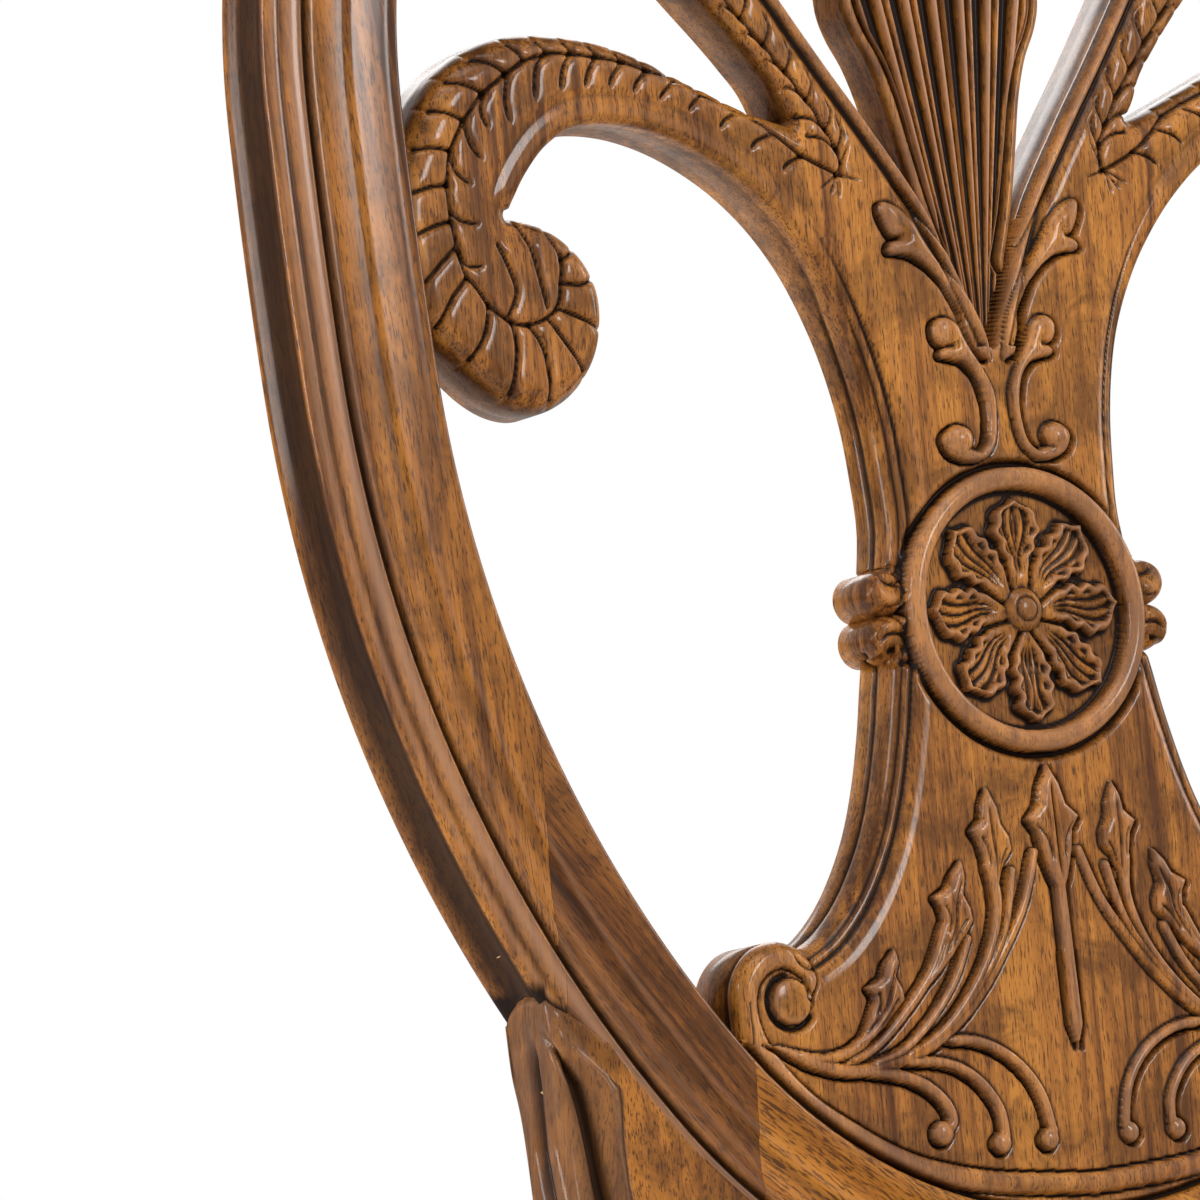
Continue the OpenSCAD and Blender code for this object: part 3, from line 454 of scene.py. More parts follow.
def section_painted_sheen():
    """Share of painted highlight, a paler tone along the crown of the roll and the ridges of the face."""
    crowns = shaded_bands((2.9, 1.1, 0.55), (8.8, 2.2, 0.9), (16, 0.8, 0.25), (21.4, 1.3, 0.2),
                          (29.2, 0.9, 0.25))
    return crowns * (SECTION_H > -4)


def moulding(name, rings, material, slot, node):
    """One piece of the frame: a skin along its rings and a flat end at each joint."""
    m, n = rings.shape[:2]
    skin = strips_between(range(0, m * n, n), n)
    ends = [list(range(n))[::-1], list(range((m - 1) * n, m * n))]
    piece = new_object(name, place(rings.reshape(-1, 3)), skin + ends, material)
    sharpen(piece, slice(n), slice(-n, None))
    # Painted shade with some patina, and painted highlight, along the section
    point_values(piece, "patina_and_shade", np.tile(section_patina_and_shade(), m))
    point_values(piece, "painted_sheen", np.tile(section_painted_sheen(), m))
    return dress(piece, slot, node)


low_start = level(180 + MID_TURN)
side_rings = joined(
    rings_on(TOP_C, TOP_SIDE_R, 1, on_mitre(TOP_C, TOP_SIDE_R, 1), level(180)),
    rings_on(MID_C, MID_SIDE_R, 1, level(180), low_start),
    rings_on(LOW_C, LOW_SIDE_R, 1, low_start, upright(LOW_C, LOW_SIDE_R, -SIDE_JOINT_U)))
block_rings = joined(
    rings_on(LOW_C, LOW_SIDE_R, 1, upright(LOW_C, LOW_SIDE_R, GLUE_GAP - SIDE_JOINT_U),
             level(180 + LOW_TURN)),
    rings_on(FOOT_C, FOOT_R, 1, level(180 + LOW_TURN), upright(FOOT_C, FOOT_R, -BLOCK_JOINT_U)))
bottom_half = rings_on(FOOT_C, FOOT_R, 1, upright(FOOT_C, FOOT_R, GLUE_GAP - BLOCK_JOINT_U), level(270))
crest_half = joined(
    rings_on(CREST_C, CREST_R, 1, level(90), level(90 + CREST_TURN)),
    rings_on(HOLLOW_C, HOLLOW_R, -1, level(270 + CREST_TURN), on_mitre(HOLLOW_C, HOLLOW_R, -1)))

for label, mirror in (("left", False), ("right", True)):
    for stem, rings, material, finish in (
            ("shield_side", side_rings, side_wood, "mahogany"),
            ("shield_block", block_rings, block_wood, "dark_mahogany")):
        node = f"{stem}_{label}"
        moulding(f"{node}_moulded", flipped(rings) if mirror else rings, material, finish, node)
moulding("bottom_rail_moulded", joined(bottom_half, flipped(bottom_half)), amber_wood, "amber_mahogany",
         "shield_bottom_rail")
moulding("crest_rail_moulded", joined(flipped(crest_half), crest_half), crest_wood, "mahogany",
         "crest_rail")


# Carved splat: one height over the plane of the back at every point of a fine grid, left half

CELL = 0.5
LOWEST = 18
COLS = np.arange(-206, CELL / 2, CELL)
ROWS = np.arange(LOWEST, 462, CELL)
U, V = np.meshgrid(COLS, ROWS)
FAR = 30.0


def from_stretch(a, b, u, v):
    """How far points (u, v) are from a straight stretch, and how far along it, from 0 to 1."""
    run_u, run_v = b - a
    t = np.clip(((u - a[0]) * run_u + (v - a[1]) * run_v) / max(run_u ** 2 + run_v ** 2, 1e-9), 0, 1)
    return np.hypot(u - a[0] - t * run_u, v - a[1] - t * run_v), t


def is_inside(line, u, v):
    """Which points (u, v) lie inside a closed line."""
    odd = np.zeros(u.shape, bool)
    for (au, av), (bu, bv) in zip(line, np.roll(line, -1, axis=0)):
        if av == bv:
            continue
        crossed = (av > v) != (bv > v)
        odd ^= crossed & (u < au + (bu - au) * (v - av) / (bv - av))
    return odd


def window(points, reach):
    """The part of the grid within reach of some points."""
    low, high = points.min(axis=0) - reach, points.max(axis=0) + reach
    return slice(*np.searchsorted(ROWS, [low[1], high[1]])), slice(*np.searchsorted(COLS, [low[0], high[0]]))


def near(points, reach):
    """For the grid near a line: its window, the distance from the line, and how far along it is."""
    p = np.asarray(points, float)
    win = window(p, reach)
    far = np.full(U[win].shape, float(reach))
    along = np.zeros(far.shape)
    run = np.concatenate([[0], np.cumsum(np.hypot(*np.diff(p, axis=0).T))])
    run /= run[-1]
    for a, b, start, end in zip(p[:-1], p[1:], run[:-1], run[1:]):
        d, t = from_stretch(a, b, U[win], V[win])
        closer = d < far
        far[closer] = d[closer]
        along[closer] = (start + t * (end - start))[closer]
    return win, far, along


def depth_in(points, reach=FAR):
    """How deep every grid point lies inside a closed line, below 0 outside."""
    whole = np.full(U.shape, -float(reach))
    win, far, _ = near(np.vstack([points, points[:1]]), reach)
    whole[win] = np.where(is_inside(points, U[win], V[win]), far, -far)
    return whole


def blur(a, cells):
    """Mean over a square of the given half width, done twice for a soft fall-off."""
    for _ in range(2):
        for axis in (0, 1):
            pad = [(0, 0), (0, 0)]
            pad[axis] = (cells + 1, cells)
            total = np.cumsum(np.pad(a, pad, mode="edge"), axis=axis)
            width = 2 * cells + 1
            size = a.shape[axis]
            ahead = np.take(total, range(width, width + size), axis=axis)
            behind = np.take(total, range(0, size), axis=axis)
            a = (ahead - behind) / width
    return a


# Outline of the splat, left half
BASE_LEFT = -118
SIDE_IN = HALF_W - FRAME_W
volute_edge = spline([(-118, 92), (-118.6, 104), (-118.4, 115), (-115.5, 122), (-110, 127.2), (-103, 129.3),
                      (-96, 128.6), (-90, 126.5)])
low_bay = spline([(-90, 126.5), (-82, 131), (-74, 138.5), (-67, 148), (-60.5, 160), (-55.3, 174),
                  (-51, 190), (-48.5, 202), (-46.5, 211)])
high_bay = spline([(-44.5, 237), (-42.6, 250), (-43, 264), (-44.4, 280), (-47.6, 296), (-52.5, 311),
                   (-59.5, 326), (-68.5, 339), (-79, 349.5), (-90, 357.3), (-102, 363.5), (-115, 367.6),
                   (-128, 369), (-139, 367.5), (-148, 362.5), (-155, 355.5), (-160, 348.5), (-162, 343)])
scroll_end = [(-162, 343), (-153, 341), (-145, 337), (-138.5, 331), (-134.5, 323.5), (-133.4, 315),
              (-135.3, 305), (-140, 296.5), (-147.5, 289.5), (-157, 285.6), (-166, 286.5), (-175, 291.2),
              (-184, 299.5)]
scroll_side = [(1 - SIDE_IN, 312), (-3 - SIDE_IN, 325), (-5 - SIDE_IN, 337), (-4 - SIDE_IN, 350),
               (2 - SIDE_IN, 363)]
scroll_top = [(-189, 373.5), (-182, 382.5), (-173.5, 389), (-163, 393.8), (-152, 396), (-140, 396),
              (-125, 394), (-110, 389.2), (-95, 382.5), (-80, 375.8), (-70, 371.5), (-62, 369)]
scroll_edge = spline(scroll_end + scroll_side + scroll_top)
branch_left = spline([(-62, 369), (-66.5, 380), (-72.5, 388), (-80, 396.8), (-88.5, 406), (-98, 416.5),
                      (-108, 428), (-118, 440)])
branch_right = spline([(-90, 449), (-79, 432), (-70, 418.5), (-61, 405), (-53.5, 394), (-46, 383.3),
                       (-38.5, 373), (-31.5, 363), (-25, 353.5), (-19, 344), (-13.8, 333.5), (-9.5, 323.5),
                       (-5.5, 314), (-2.2, 305.5), (0, 299)])
fan_side = spline([(-6, 308), (-12, 327), (-17, 343), (-21, 360), (-24.5, 376), (-28.5, 388), (-33, 396.5),
                   (-35.5, 404), (-36, 412)])
PAST_MIDDLE = 40  # how far the outlines run on past the grid's right edge
splat_line = np.vstack([[(PAST_MIDDLE, 20), (BASE_LEFT, 20)], volute_edge, low_bay, high_bay, scroll_edge,
                        branch_left, branch_right, [(PAST_MIDDLE, 299)]])
fan_line = np.vstack([[(0, 292)], fan_side, [(-36, SHIELD_H), (PAST_MIDDLE, SHIELD_H), (PAST_MIDDLE, 292)]])
inner_r = FRAME_W + GLUE_GAP
corner = crossing(TOP_C, TOP_SIDE_R - inner_r, HOLLOW_C, HOLLOW_R + inner_r)
frame_line = np.vstack([
    [(PAST_MIDDLE, inner_r)],
    arc(FOOT_C, FOOT_R - inner_r, 270, 180 + LOW_TURN),
    arc(LOW_C, LOW_SIDE_R - inner_r, 180 + LOW_TURN, 180 + MID_TURN),
    arc(MID_C, MID_SIDE_R - inner_r, 180 + MID_TURN, 180),
    arc(TOP_C, TOP_SIDE_R - inner_r, 180, turn(TOP_C, corner)),
    arc(HOLLOW_C, HOLLOW_R + inner_r, turn(HOLLOW_C, corner) + 360, 270 + CREST_TURN),
    arc(CREST_C, CREST_R - inner_r, 90 + CREST_TURN, 90),
    [(PAST_MIDDLE, SHIELD_H - FRAME_W)]])

in_main = depth_in(splat_line)
in_fan = depth_in(fan_line)
in_frame = depth_in(frame_line)


def into_knots():
    """How deep every grid point lies inside the knots at the waist, below 0 outside."""
    return np.max([KNOT_R - np.hypot(U - u, V - v) for u, v in KNOTS], axis=0)


def from_line(line, reach=14):
    """Distance from a line over the whole grid, no more than reach."""
    whole = np.full(U.shape, float(reach))
    win, far, _ = near(line, reach)
    whole[win] = far
    return whole


def from_edges():
    """Distance of every grid point from each line of the free edge."""
    return [from_line(line) for line in (high_bay, low_bay, scroll_edge, branch_left, volute_edge)]


def corners_of(a):
    """The values at the four corners of every cell."""
    return np.stack([a[:-1, :-1], a[1:, :-1], a[:-1, 1:], a[1:, 1:]])


# Points at the border, and on the step from the branch down to the fan, are drawn to their line
# before anything is carved. The grid stops inside the outline, where the rounded edge begins.
EDGE_SET = 3
in_knots = into_knots()
depth = np.minimum(np.max([in_main, in_knots, in_fan], axis=0), in_frame)
from_free = np.min([*from_edges(), np.where(in_knots > in_main, abs(in_knots), FAR)], axis=0)
free = np.clip(1 - (from_free - depth) / 2, 0, 1)
inset = EDGE_SET * free
depth_left = depth - inset
keep = depth_left > -0.5 * CELL
cells = corners_of(keep).all(axis=0)
around = np.pad(cells, 1)
around[:, -1] = around[:, -2]
on_edge = corners_of(around).any(axis=0) & ~corners_of(around).all(axis=0)
on_step = (in_fan > 0) & (abs(in_main) < 0.6 * CELL) & ~on_edge


def outward(field):
    """The way a field falls off most steeply, as two arrays."""
    fall_v, fall_u = np.gradient(-field, CELL)
    size = np.hypot(fall_u, fall_v) + 1e-6
    return fall_u / size, fall_v / size


OUT_U, OUT_V = outward(depth_left)
step_u, step_v = outward(in_main)
edge_shift = np.where(on_edge, np.clip(depth_left, -CELL, 1.6 * CELL), 0)
step_shift = np.where(on_step, in_main, 0)
U = np.where(U < -CELL / 2, U + edge_shift * OUT_U + step_shift * step_u, 0)
V = V + edge_shift * OUT_V + step_shift * step_v
in_knots = into_knots()


def quarter(d, width, drop):
    """Rounded edge: drop below 0 at the edge, 0 from width inwards."""
    share = np.clip(1 - d / width, 0, 1)
    return drop * (np.sqrt(1 - share ** 2) - 1)


# Distances from each kind of edge: the bays' moulding runs out at the top
from_high, from_low, from_scroll, from_branch, from_volute = from_edges()
from_bay = np.minimum(from_high, from_low)
from_knot = np.where(in_knots > in_main, np.maximum(in_knots, 0), FAR)
EDGES = (from_bay, from_scroll, from_branch, from_volute, from_knot)
run_out = smooth(V, 300, 352) * (from_high < 13.9)


def edge_height(bay, scroll, branch, volute, knot, run_out, v):
    """Height of the rounded and moulded edges at given distances from their lines."""
    bold = quarter(bay, 5.2, 8.6) - 2.6
    after = np.interp(bay, [5.2, 6, 7, 8.2, 9.4, 11.5], [-2.6, -3.3, -1.6, -1, -0.5, 0])
    moulded = np.where(bay < 5.2, bold, after)
    plain = quarter(bay, 2.6, 3.2) + np.interp(bay, [0, 2.6, 5, 8, 11], [-0.3, -0.3, -0.1, -0.6, 0])
    height = (1 - run_out) * moulded + run_out * plain + quarter(scroll, 8.5, 9) + quarter(volute, 3.4, 4)
    height = height + quarter(branch, 4, 6) * (v > 368)
    return np.minimum(height, quarter(knot, 5, 8) - 0.3 * (knot < 5))


H = edge_height(*EDGES, run_out, V)


def lower(line, width, deep, fade=(0, 0)):
    """Cuts a V groove with soft shoulders along a line; fade is the share faded out at each end."""
    win, far, along = near(line, width)
    force = np.ones(far.shape)
    if fade[0]:
        force *= smooth(along, 0, fade[0])
    if fade[1]:
        force *= 1 - smooth(along, 1 - fade[1], 1)
    H[win] -= deep * force * (1 - far / width) ** 2


class Layer:
    """Raised carving that is laid on the face as one, so that crossing stems don't pile up."""

    def __init__(self):
        self.height = np.zeros(U.shape)

    def stem(self, line, widths, height, taper=0.0):
        """A rounded stem, whose half width goes from the first to the second value after a thin start."""
        win, far, along = near(line, max(widths))
        half = widths[0] + (widths[1] - widths[0]) * along
        if taper:
            half = half * np.clip(along / taper, 0.1, 1)
        lift = height * np.sqrt(np.clip(1 - (far / half) ** 2, 0, 1)) * np.minimum(1, half / widths[0] + 0.1)
        self.height[win] = np.maximum(self.height[win], lift)

    def leaf(self, line, height, shoulder):
        """A leaf with swelling edges, from its closed outline."""
        win, far, _ = near(np.vstack([line, line[:1]]), FAR)
        share = np.clip(1 - far / shoulder, 0, 1)
        lift = np.where(is_inside(line, U[win], V[win]), height * np.sqrt(1 - share ** 2), 0)
        self.height[win] = np.maximum(self.height[win], lift)

    def ball(self, c, r, height):
        lift = height * np.sqrt(np.clip(1 - ((U - c[0]) ** 2 + (V - c[1]) ** 2) / r ** 2, 0, 1))
        self.height = np.maximum(self.height, lift)

    def lay(self, moat=0.9, shade=(0, 0)):
        """Adds the layer to the face, with a cut round it that can be wider to the left and below."""
        global H
        covered = self.height > 0.05
        reach = blur(covered.astype(float), 1)
        if shade[0]:
            moved = np.roll(covered, (-shade[1], -shade[0]), (0, 1))
            reach = np.maximum(0.25 * reach, blur(moved.astype(float), 1))
        H = H + self.height - moat * np.minimum(1, 1.6 * reach) * ~covered


# Branch: a bead along its fan side, with a cove beside it
from_right = from_line(branch_right)
beside_fan = (U > -100) * (V > 300) * (in_main > -1)
bead = np.interp(from_right, [0, 0.6, 1.4, 2.2, 3, 3.8, 4.8, 5.8, 7.2, 9],
                 [-5, -1.4, 0.1, 0.5, 0.1, -1.5, -2.6, -1.8, -0.5, 0])
H = np.where(beside_fan > 0, H + bead * (from_right < 9), H)


def cut(line, fade=(0, 0), wide=1.15, deep=1.5):
    """A thin dark cut between two gently swelling barbs."""
    lower(line, 3.2, 0.6, fade)
    lower(line, wide, deep, fade)


ear_rib = [(-47, 352.5), (-47.5, 360), (-50.5, 366), (-56, 375), (-62.5, 383.5), (-69, 391.5), (-76, 399.5),
           (-83, 408), (-91, 418), (-99, 428)]
cut(spline(ear_rib), deep=1.8)
for u, v in ear_rib[1:]:
    cut(spline([(u, v), (u + 2.2, v + 6), (u - 0.3, v + 11.5)]), (0, 0.4), 0.95, 1.1)
    cut(spline([(u, v), (u - 4.5, v + 3.5), (u - 10, v + 4.5)]), deep=1.6)
for u, v in [(-56.5, 348), (-49.5, 344.5), (-40, 350.5), (-43, 363), (-53, 346)]:
    lower([(-48.5, 353), (u, v)], 1.0, 1.2, (0, 0.5))

# Feather of the scroll: its rib, then barbs out to the edge and barbs in to the smooth border
rib = spline([(-48.5, 353), (-60, 358.5), (-68, 364.5), (-74, 369.5), (-83.5, 374), (-92, 377.5),
              (-100.5, 382), (-110, 384.5), (-118.5, 387), (-128, 388.5), (-137, 389.5), (-144, 389.5),
              (-152.5, 387.5), (-159.5, 383.5), (-168, 378), (-175.5, 370), (-181, 361.5), (-183.5, 351.5),
              (-183.5, 344), (-183, 336.5), (-181, 326.5), (-177.5, 321.5), (-174, 316.5), (-168, 312),
              (-162.5, 310.5), (-156, 312), (-151, 315.5), (-149, 322), (-147.5, 330.5)])
cut(rib, wide=1.3, deep=1.9)
outer_barbs = [
    [(-159.5, 384), (-166.5, 387.5), (-176, 388)], [(-167.5, 378), (-175, 381), (-184, 382)],
    [(-176, 370.5), (-183, 373), (-192, 373)], [(-181, 361.5), (-188, 362.5), (-197, 361.5)],
    [(-183.5, 351.5), (-189.5, 351), (-200, 348)], [(-183.5, 341), (-190, 339.5), (-201, 335)],
    [(-183.5, 333), (-189, 328.5), (-197, 321)], [(-180.5, 324.5), (-186, 319), (-192, 310)],
    [(-174, 317), (-177, 307.5), (-184, 298.5)], [(-167, 311.5), (-166.5, 303), (-170, 288)],
    [(-161, 310), (-157, 302), (-156, 284)], [(-154, 311.5), (-148, 303), (-141, 293)],
    [(-150.5, 315), (-143, 312), (-133, 308)], [(-148.5, 322.5), (-141.5, 322), (-134, 325)],
    [(-148, 329), (-144, 331), (-139, 334)]]
for barb in outer_barbs:
    cut(spline(barb), wide=1.3, deep=1.8)
top_barbs = [(-153, 388), (-144.5, 390), (-135.5, 390), (-127, 389), (-118, 387), (-109.5, 384.5),
             (-100.5, 381.5), (-91.5, 377.5), (-82.5, 373.5), (-74, 369.5)]
for u, v in top_barbs:
    cut(spline([(u, v), (u - 3.2, v + 3.8), (u - 7, v + 6.5)]), deep=1.7)
inner_barbs = [
    [(-145.5, 389), (-149.5, 384.5), (-151, 374.5)], [(-136.5, 389.5), (-140, 385), (-142, 377.5)],
    [(-128, 388.5), (-131.5, 384), (-133.5, 378.5)], [(-119.5, 386.5), (-123.5, 382.5), (-125, 378.5)],
    [(-110.5, 384.5), (-115, 381), (-117, 377)], [(-101, 381.5), (-106, 378), (-108.5, 375)],
    [(-92, 377), (-96.5, 374.5), (-98.5, 371.5)], [(-81.5, 371.5), (-86, 369.5), (-88.5, 366.5)],
    [(-70.5, 365), (-76, 363), (-78.5, 360)], [(-60, 358.5), (-65.5, 356.5), (-68.5, 353.5)],
    [(-159, 383.5), (-161, 376), (-160, 368)], [(-168, 377), (-169.5, 372.5), (-167.5, 367)],
    [(-175.5, 369), (-174.5, 363.5), (-170.5, 358)], [(-181, 359.5), (-180, 355), (-175, 351)],
    [(-183, 343.5), (-180, 341), (-174, 340)], [(-182, 332), (-179.5, 328), (-174, 328)]]
for barb in inner_barbs:
    cut(spline(barb), (0, 0.3))
for line in ([(-169, 334), (-166, 327), (-164.5, 320), (-168, 313)],
             [(-161, 341), (-157.5, 331.5), (-154.5, 315.5)], [(-152, 340.5), (-150.5, 336), (-148, 330.5)]):
    cut(spline(line))

# Volute at the foot of the splat: a broad band that winds round a flat eye and runs on along the foot.
# Below FOOT_TOP the splat's side dips to a gap against the frame, whose joint is painted dark as shade.
VOLUTE_EYE = (-98.8, 111.6)
FOOT_TOP = 130
eye = Layer()
eye.ball(VOLUTE_EYE, 6.6, 1.3)
eye.lay(2.6)
lower(arc(VOLUTE_EYE, 8, 75, 340, 8), 2, 3.2, (0.1, 0.1))
foot_line = spline([(-92.5, 112), (-91.2, 118.5), (-94.8, 123.6), (-101, 125.2), (-107.8, 123.2),
                    (-113, 118), (-114.8, 110.5), (-113.3, 102), (-109.3, 94.8), (-103.5, 87.6),
                    (-95.5, 80.2), (-85, 73.2), (-71.5, 65.4), (-57.5, 59.7), (-34, 54.6), (0, 52)])
foot_bead = Layer()
foot_bead.stem(foot_line, (3.7, 3.1), 2.4, 0.06)
foot_bead.lay(2.8)
H -= 2.6 * (1 - smooth(in_frame, 0.8, 2.6)) * (V < FOOT_TOP)
for u in (-117.2, -114.6):
    lower([(u, 92), (u, 112)], 0.9, 1.0)

# Knots at the waist: two lobes with a notch between them that points at the medallion
notch_v = (KNOTS[0][1] + KNOTS[1][1]) / 2
lower([(-60, notch_v + 1), (-42.5, notch_v + 1)], 3.2, 6.5)
for v in (KNOTS[0][1] - 7.5, KNOTS[1][1] + 7.5):
    lower([(-50, v), (-38, v)], 2.2, 2.2, (0, 0.5))

# Acanthus spray: stems, then leaves with a groove down each
spray = Layer()
stems = [
    ([(-111, 100), (-105, 98.3), (-99.5, 96), (-91.5, 92.7), (-81.5, 90.3), (-71.5, 90.7), (-57.5, 93.8),
      (-45.5, 99.7), (-34, 109), (-24, 120.5), (-14, 135), (-8, 150)], (2.2, 1.5)),
    ([(-103, 97.5), (-94, 94.6), (-85, 94.8), (-76, 98.5), (-71, 106), (-67, 114)], (1.6, 2.0)),
    ([(-86, 91.5), (-73, 96.2), (-60.5, 106), (-49.5, 117.5), (-42.5, 130)], (1.4, 1.9)),
    ([(-78, 91), (-64, 94.5), (-52.5, 102.5), (-42, 114), (-35.5, 126)], (1.3, 1.5)),
    ([(-68, 91.5), (-52.5, 97), (-40, 106.5), (-29, 120.5), (-23.5, 135), (-24.5, 147)], (1.4, 1.8)),
    ([(-58, 94), (-44, 102), (-32, 113.5), (-22, 128), (-17, 145)], (1.2, 1.4)),
    ([(-80, 90.3), (-66, 88.2), (-56.5, 84.7), (-50, 79.2), (-48, 73.5), (-51.5, 70.5)], (1.8, 1.8)),
    ([(-66, 91.5), (-53.5, 91.3), (-44, 89), (-36.5, 84), (-31, 76), (-30, 68)], (1.5, 1.6)),
    ([(-50, 97), (-36, 96), (-24, 90), (-16, 80), (-13, 68)], (1.5, 1.6)),
    ([(0, 92), (0, 120), (0, 150)], (2.2, 1.8)),
]
for line, widths in stems:
    spray.stem(spline(line), widths, 1.9, 0.12)
for c, r in (((-51.8, 70.3), 3.6), ((-31.5, 66), 3.2), ((-14.5, 66), 3.2)):
    spray.ball(c, r, 2.4)
leaves = [
    [(-61.5, 125), (-65.5, 121), (-67.5, 117), (-69.5, 115.8), (-72.7, 114), (-70.8, 111.5), (-71, 108),
     (-72.5, 104.5), (-75.5, 101), (-80, 98.5), (-79, 96.5), (-73, 98.5), (-68, 102), (-64, 106),
     (-60, 109.5), (-60.3, 113), (-62.2, 116.5), (-60.5, 120.5)],
    [(-34.5, 149.5), (-38.5, 145.5), (-40.5, 141.8), (-45.6, 139), (-43.6, 135.5), (-43.2, 131),
     (-45, 125.5), (-48.5, 119.5), (-53, 114), (-51.5, 112.5), (-46.5, 116.5), (-41.5, 121), (-38, 125),
     (-36, 126.8), (-32.5, 131), (-33, 135), (-35, 139), (-33.8, 144)],
    [(-22.5, 170), (-25, 165.5), (-25.8, 161), (-29.8, 157.7), (-27.3, 154), (-26.3, 149), (-25, 142.5),
     (-24.5, 136), (-22.8, 136), (-21.8, 142), (-19.5, 147), (-16, 151), (-16.3, 155), (-18.8, 159),
     (-19.5, 164)],
    [(0, 176), (-3.5, 170), (-5.2, 164), (-9.5, 160), (-6.5, 156), (-5.5, 150), (-3, 142), (0, 136), (3, 142),
     (5.5, 150), (6.5, 156), (9.5, 160), (5.2, 164), (3.5, 170)],
]
for line in leaves:
    spray.leaf(np.array(line), 2.6, 3.2)
spray.lay(2.8, (2, 1))
leaf_ribs = [
    [(-62, 121), (-65, 113), (-69, 106), (-77, 99)], [(-69.5, 113), (-69, 109), (-71, 105)],
    [(-62.5, 111), (-66, 106), (-71, 101.5)], [(-35, 145), (-38.5, 136), (-40, 129), (-46, 119)],
    [(-42.5, 137), (-41, 132), (-42.5, 127)], [(-34.5, 132.5), (-38, 129), (-42, 123)],
    [(-22.8, 166), (-23, 156), (-22.5, 146), (-23.5, 138)], [(-27, 156.5), (-25, 152), (-24.5, 146)],
    [(-18, 152.5), (-20, 149), (-22, 143)], [(0, 172), (0, 140)], [(-7.5, 159), (-3.5, 154), (-2, 146)]]
for line in leaf_ribs:
    lower(spline(line), 1.2, 1.1, (0.15, 0.25))

# Leaves beside the fan: one along the branch's bead, one that curls round a ball at its foot
tips = Layer()
bead_leaf = np.vstack([
    spline([(-35.6, 340.7), (-35.8, 342.8), (-34.8, 344.2), (-32.2, 343.9), (-29.2, 342.5), (-26.9, 340.6),
            (-24.1, 337.9), (-22, 334.1), (-18.8, 329.2), (-15.4, 325.9), (-12.2, 321.5), (-9, 316.6),
            (-5.9, 310.6), (-3.4, 304), (-2, 296)], 4),
    spline([(-6.4, 298), (-9.3, 305.3), (-10.5, 310.7), (-12.5, 314.5), (-14.6, 318.3), (-17.3, 321.6),
            (-20.2, 324.3), (-23.7, 326.6), (-27.4, 328.2), (-31.2, 328.6), (-33.4, 328.6), (-34.2, 330.2),
            (-32.9, 332.1), (-29.8, 333.2)], 4),
    spline([(-29.8, 333.7), (-32.1, 334), (-33.4, 335.6), (-34.7, 338), (-35.6, 340.7)], 4)])
curl_outer = spline([
    (-22, 306.4), (-20.8, 308.3), (-18.3, 309.5), (-15.2, 308.7), (-12.9, 306.8), (-11.9, 304.3),
    (-9.9, 300.3), (-7.8, 297), (-5.2, 292.6), (-3.2, 288.2), (-2.5, 283.9), (-2.9, 279.1), (-3.7, 273.7),
    (-5.2, 270), (-8.2, 267.1), (-12.2, 266.2), (-16.7, 266.6), (-20.4, 268.3), (-22.5, 271.6),
    (-22.4, 274.3), (-20.2, 276.3), (-16.5, 277), (-13.4, 275.9), (-12.3, 272.9), (-13.6, 270.2)], 4)
curl_inner = spline([
    (-10.5, 269.1), (-7.6, 271.7), (-6.2, 276.5), (-5.8, 281.8), (-6.6, 287.3), (-8.5, 292.1), (-11.9, 295.5),
    (-16.3, 296.9), (-19.4, 297.2), (-20.2, 298.9), (-18.7, 300.3), (-16.5, 300.8), (-19.9, 301.2),
    (-21.7, 303.7)], 4)
tips.leaf(bead_leaf, 3.0, 5.5)
tips.leaf(np.vstack([curl_outer, curl_inner]), 3.0, 3.6)
tips.ball((-17.4, 272.6), 4.6, 4.2)
tips.lay(3.4, (3, 1))
lower(spline([(-30, 351.5), (-25.5, 346.3), (-20.2, 339.4), (-15.2, 332.6), (-10.6, 326.6), (-6.5, 318),
              (-3, 309)]), 1.3, 2.0, (0.1, 0.1))

# Medallion: a rounded ring over a sunk ground, and a rosette of frilled petals with rolled rims
GROUND = -3.4
PETALS = 8
PETAL_FROM = 4
PETAL_TO = 33.5
BOSS_R = 7
middle_u, middle_v = U - MEDALLION[0], V - MEDALLION[1]
from_middle = np.hypot(middle_u, middle_v)
ring_mid = RING_IN + RING_W / 2
ring_turn = np.degrees(np.arctan2(middle_v, middle_u)) % 360
at_waist = smooth(abs(ring_turn - 180), 34, 22)
H = np.where(from_middle < ring_mid, GROUND, H)
H -= 3.2 * (1 - 0.85 * at_waist) * swell(from_middle - RING_IN - RING_W - 0.9, 1.3)
ring_lift = -0.6 + 3.6 * np.sqrt(np.clip(1 - ((from_middle - ring_mid) / (RING_W / 2)) ** 2, 0, 1))
H = np.where(abs(from_middle - ring_mid) < RING_W / 2, np.maximum(H, ring_lift), H)
rosette = np.full(U.shape, GROUND)
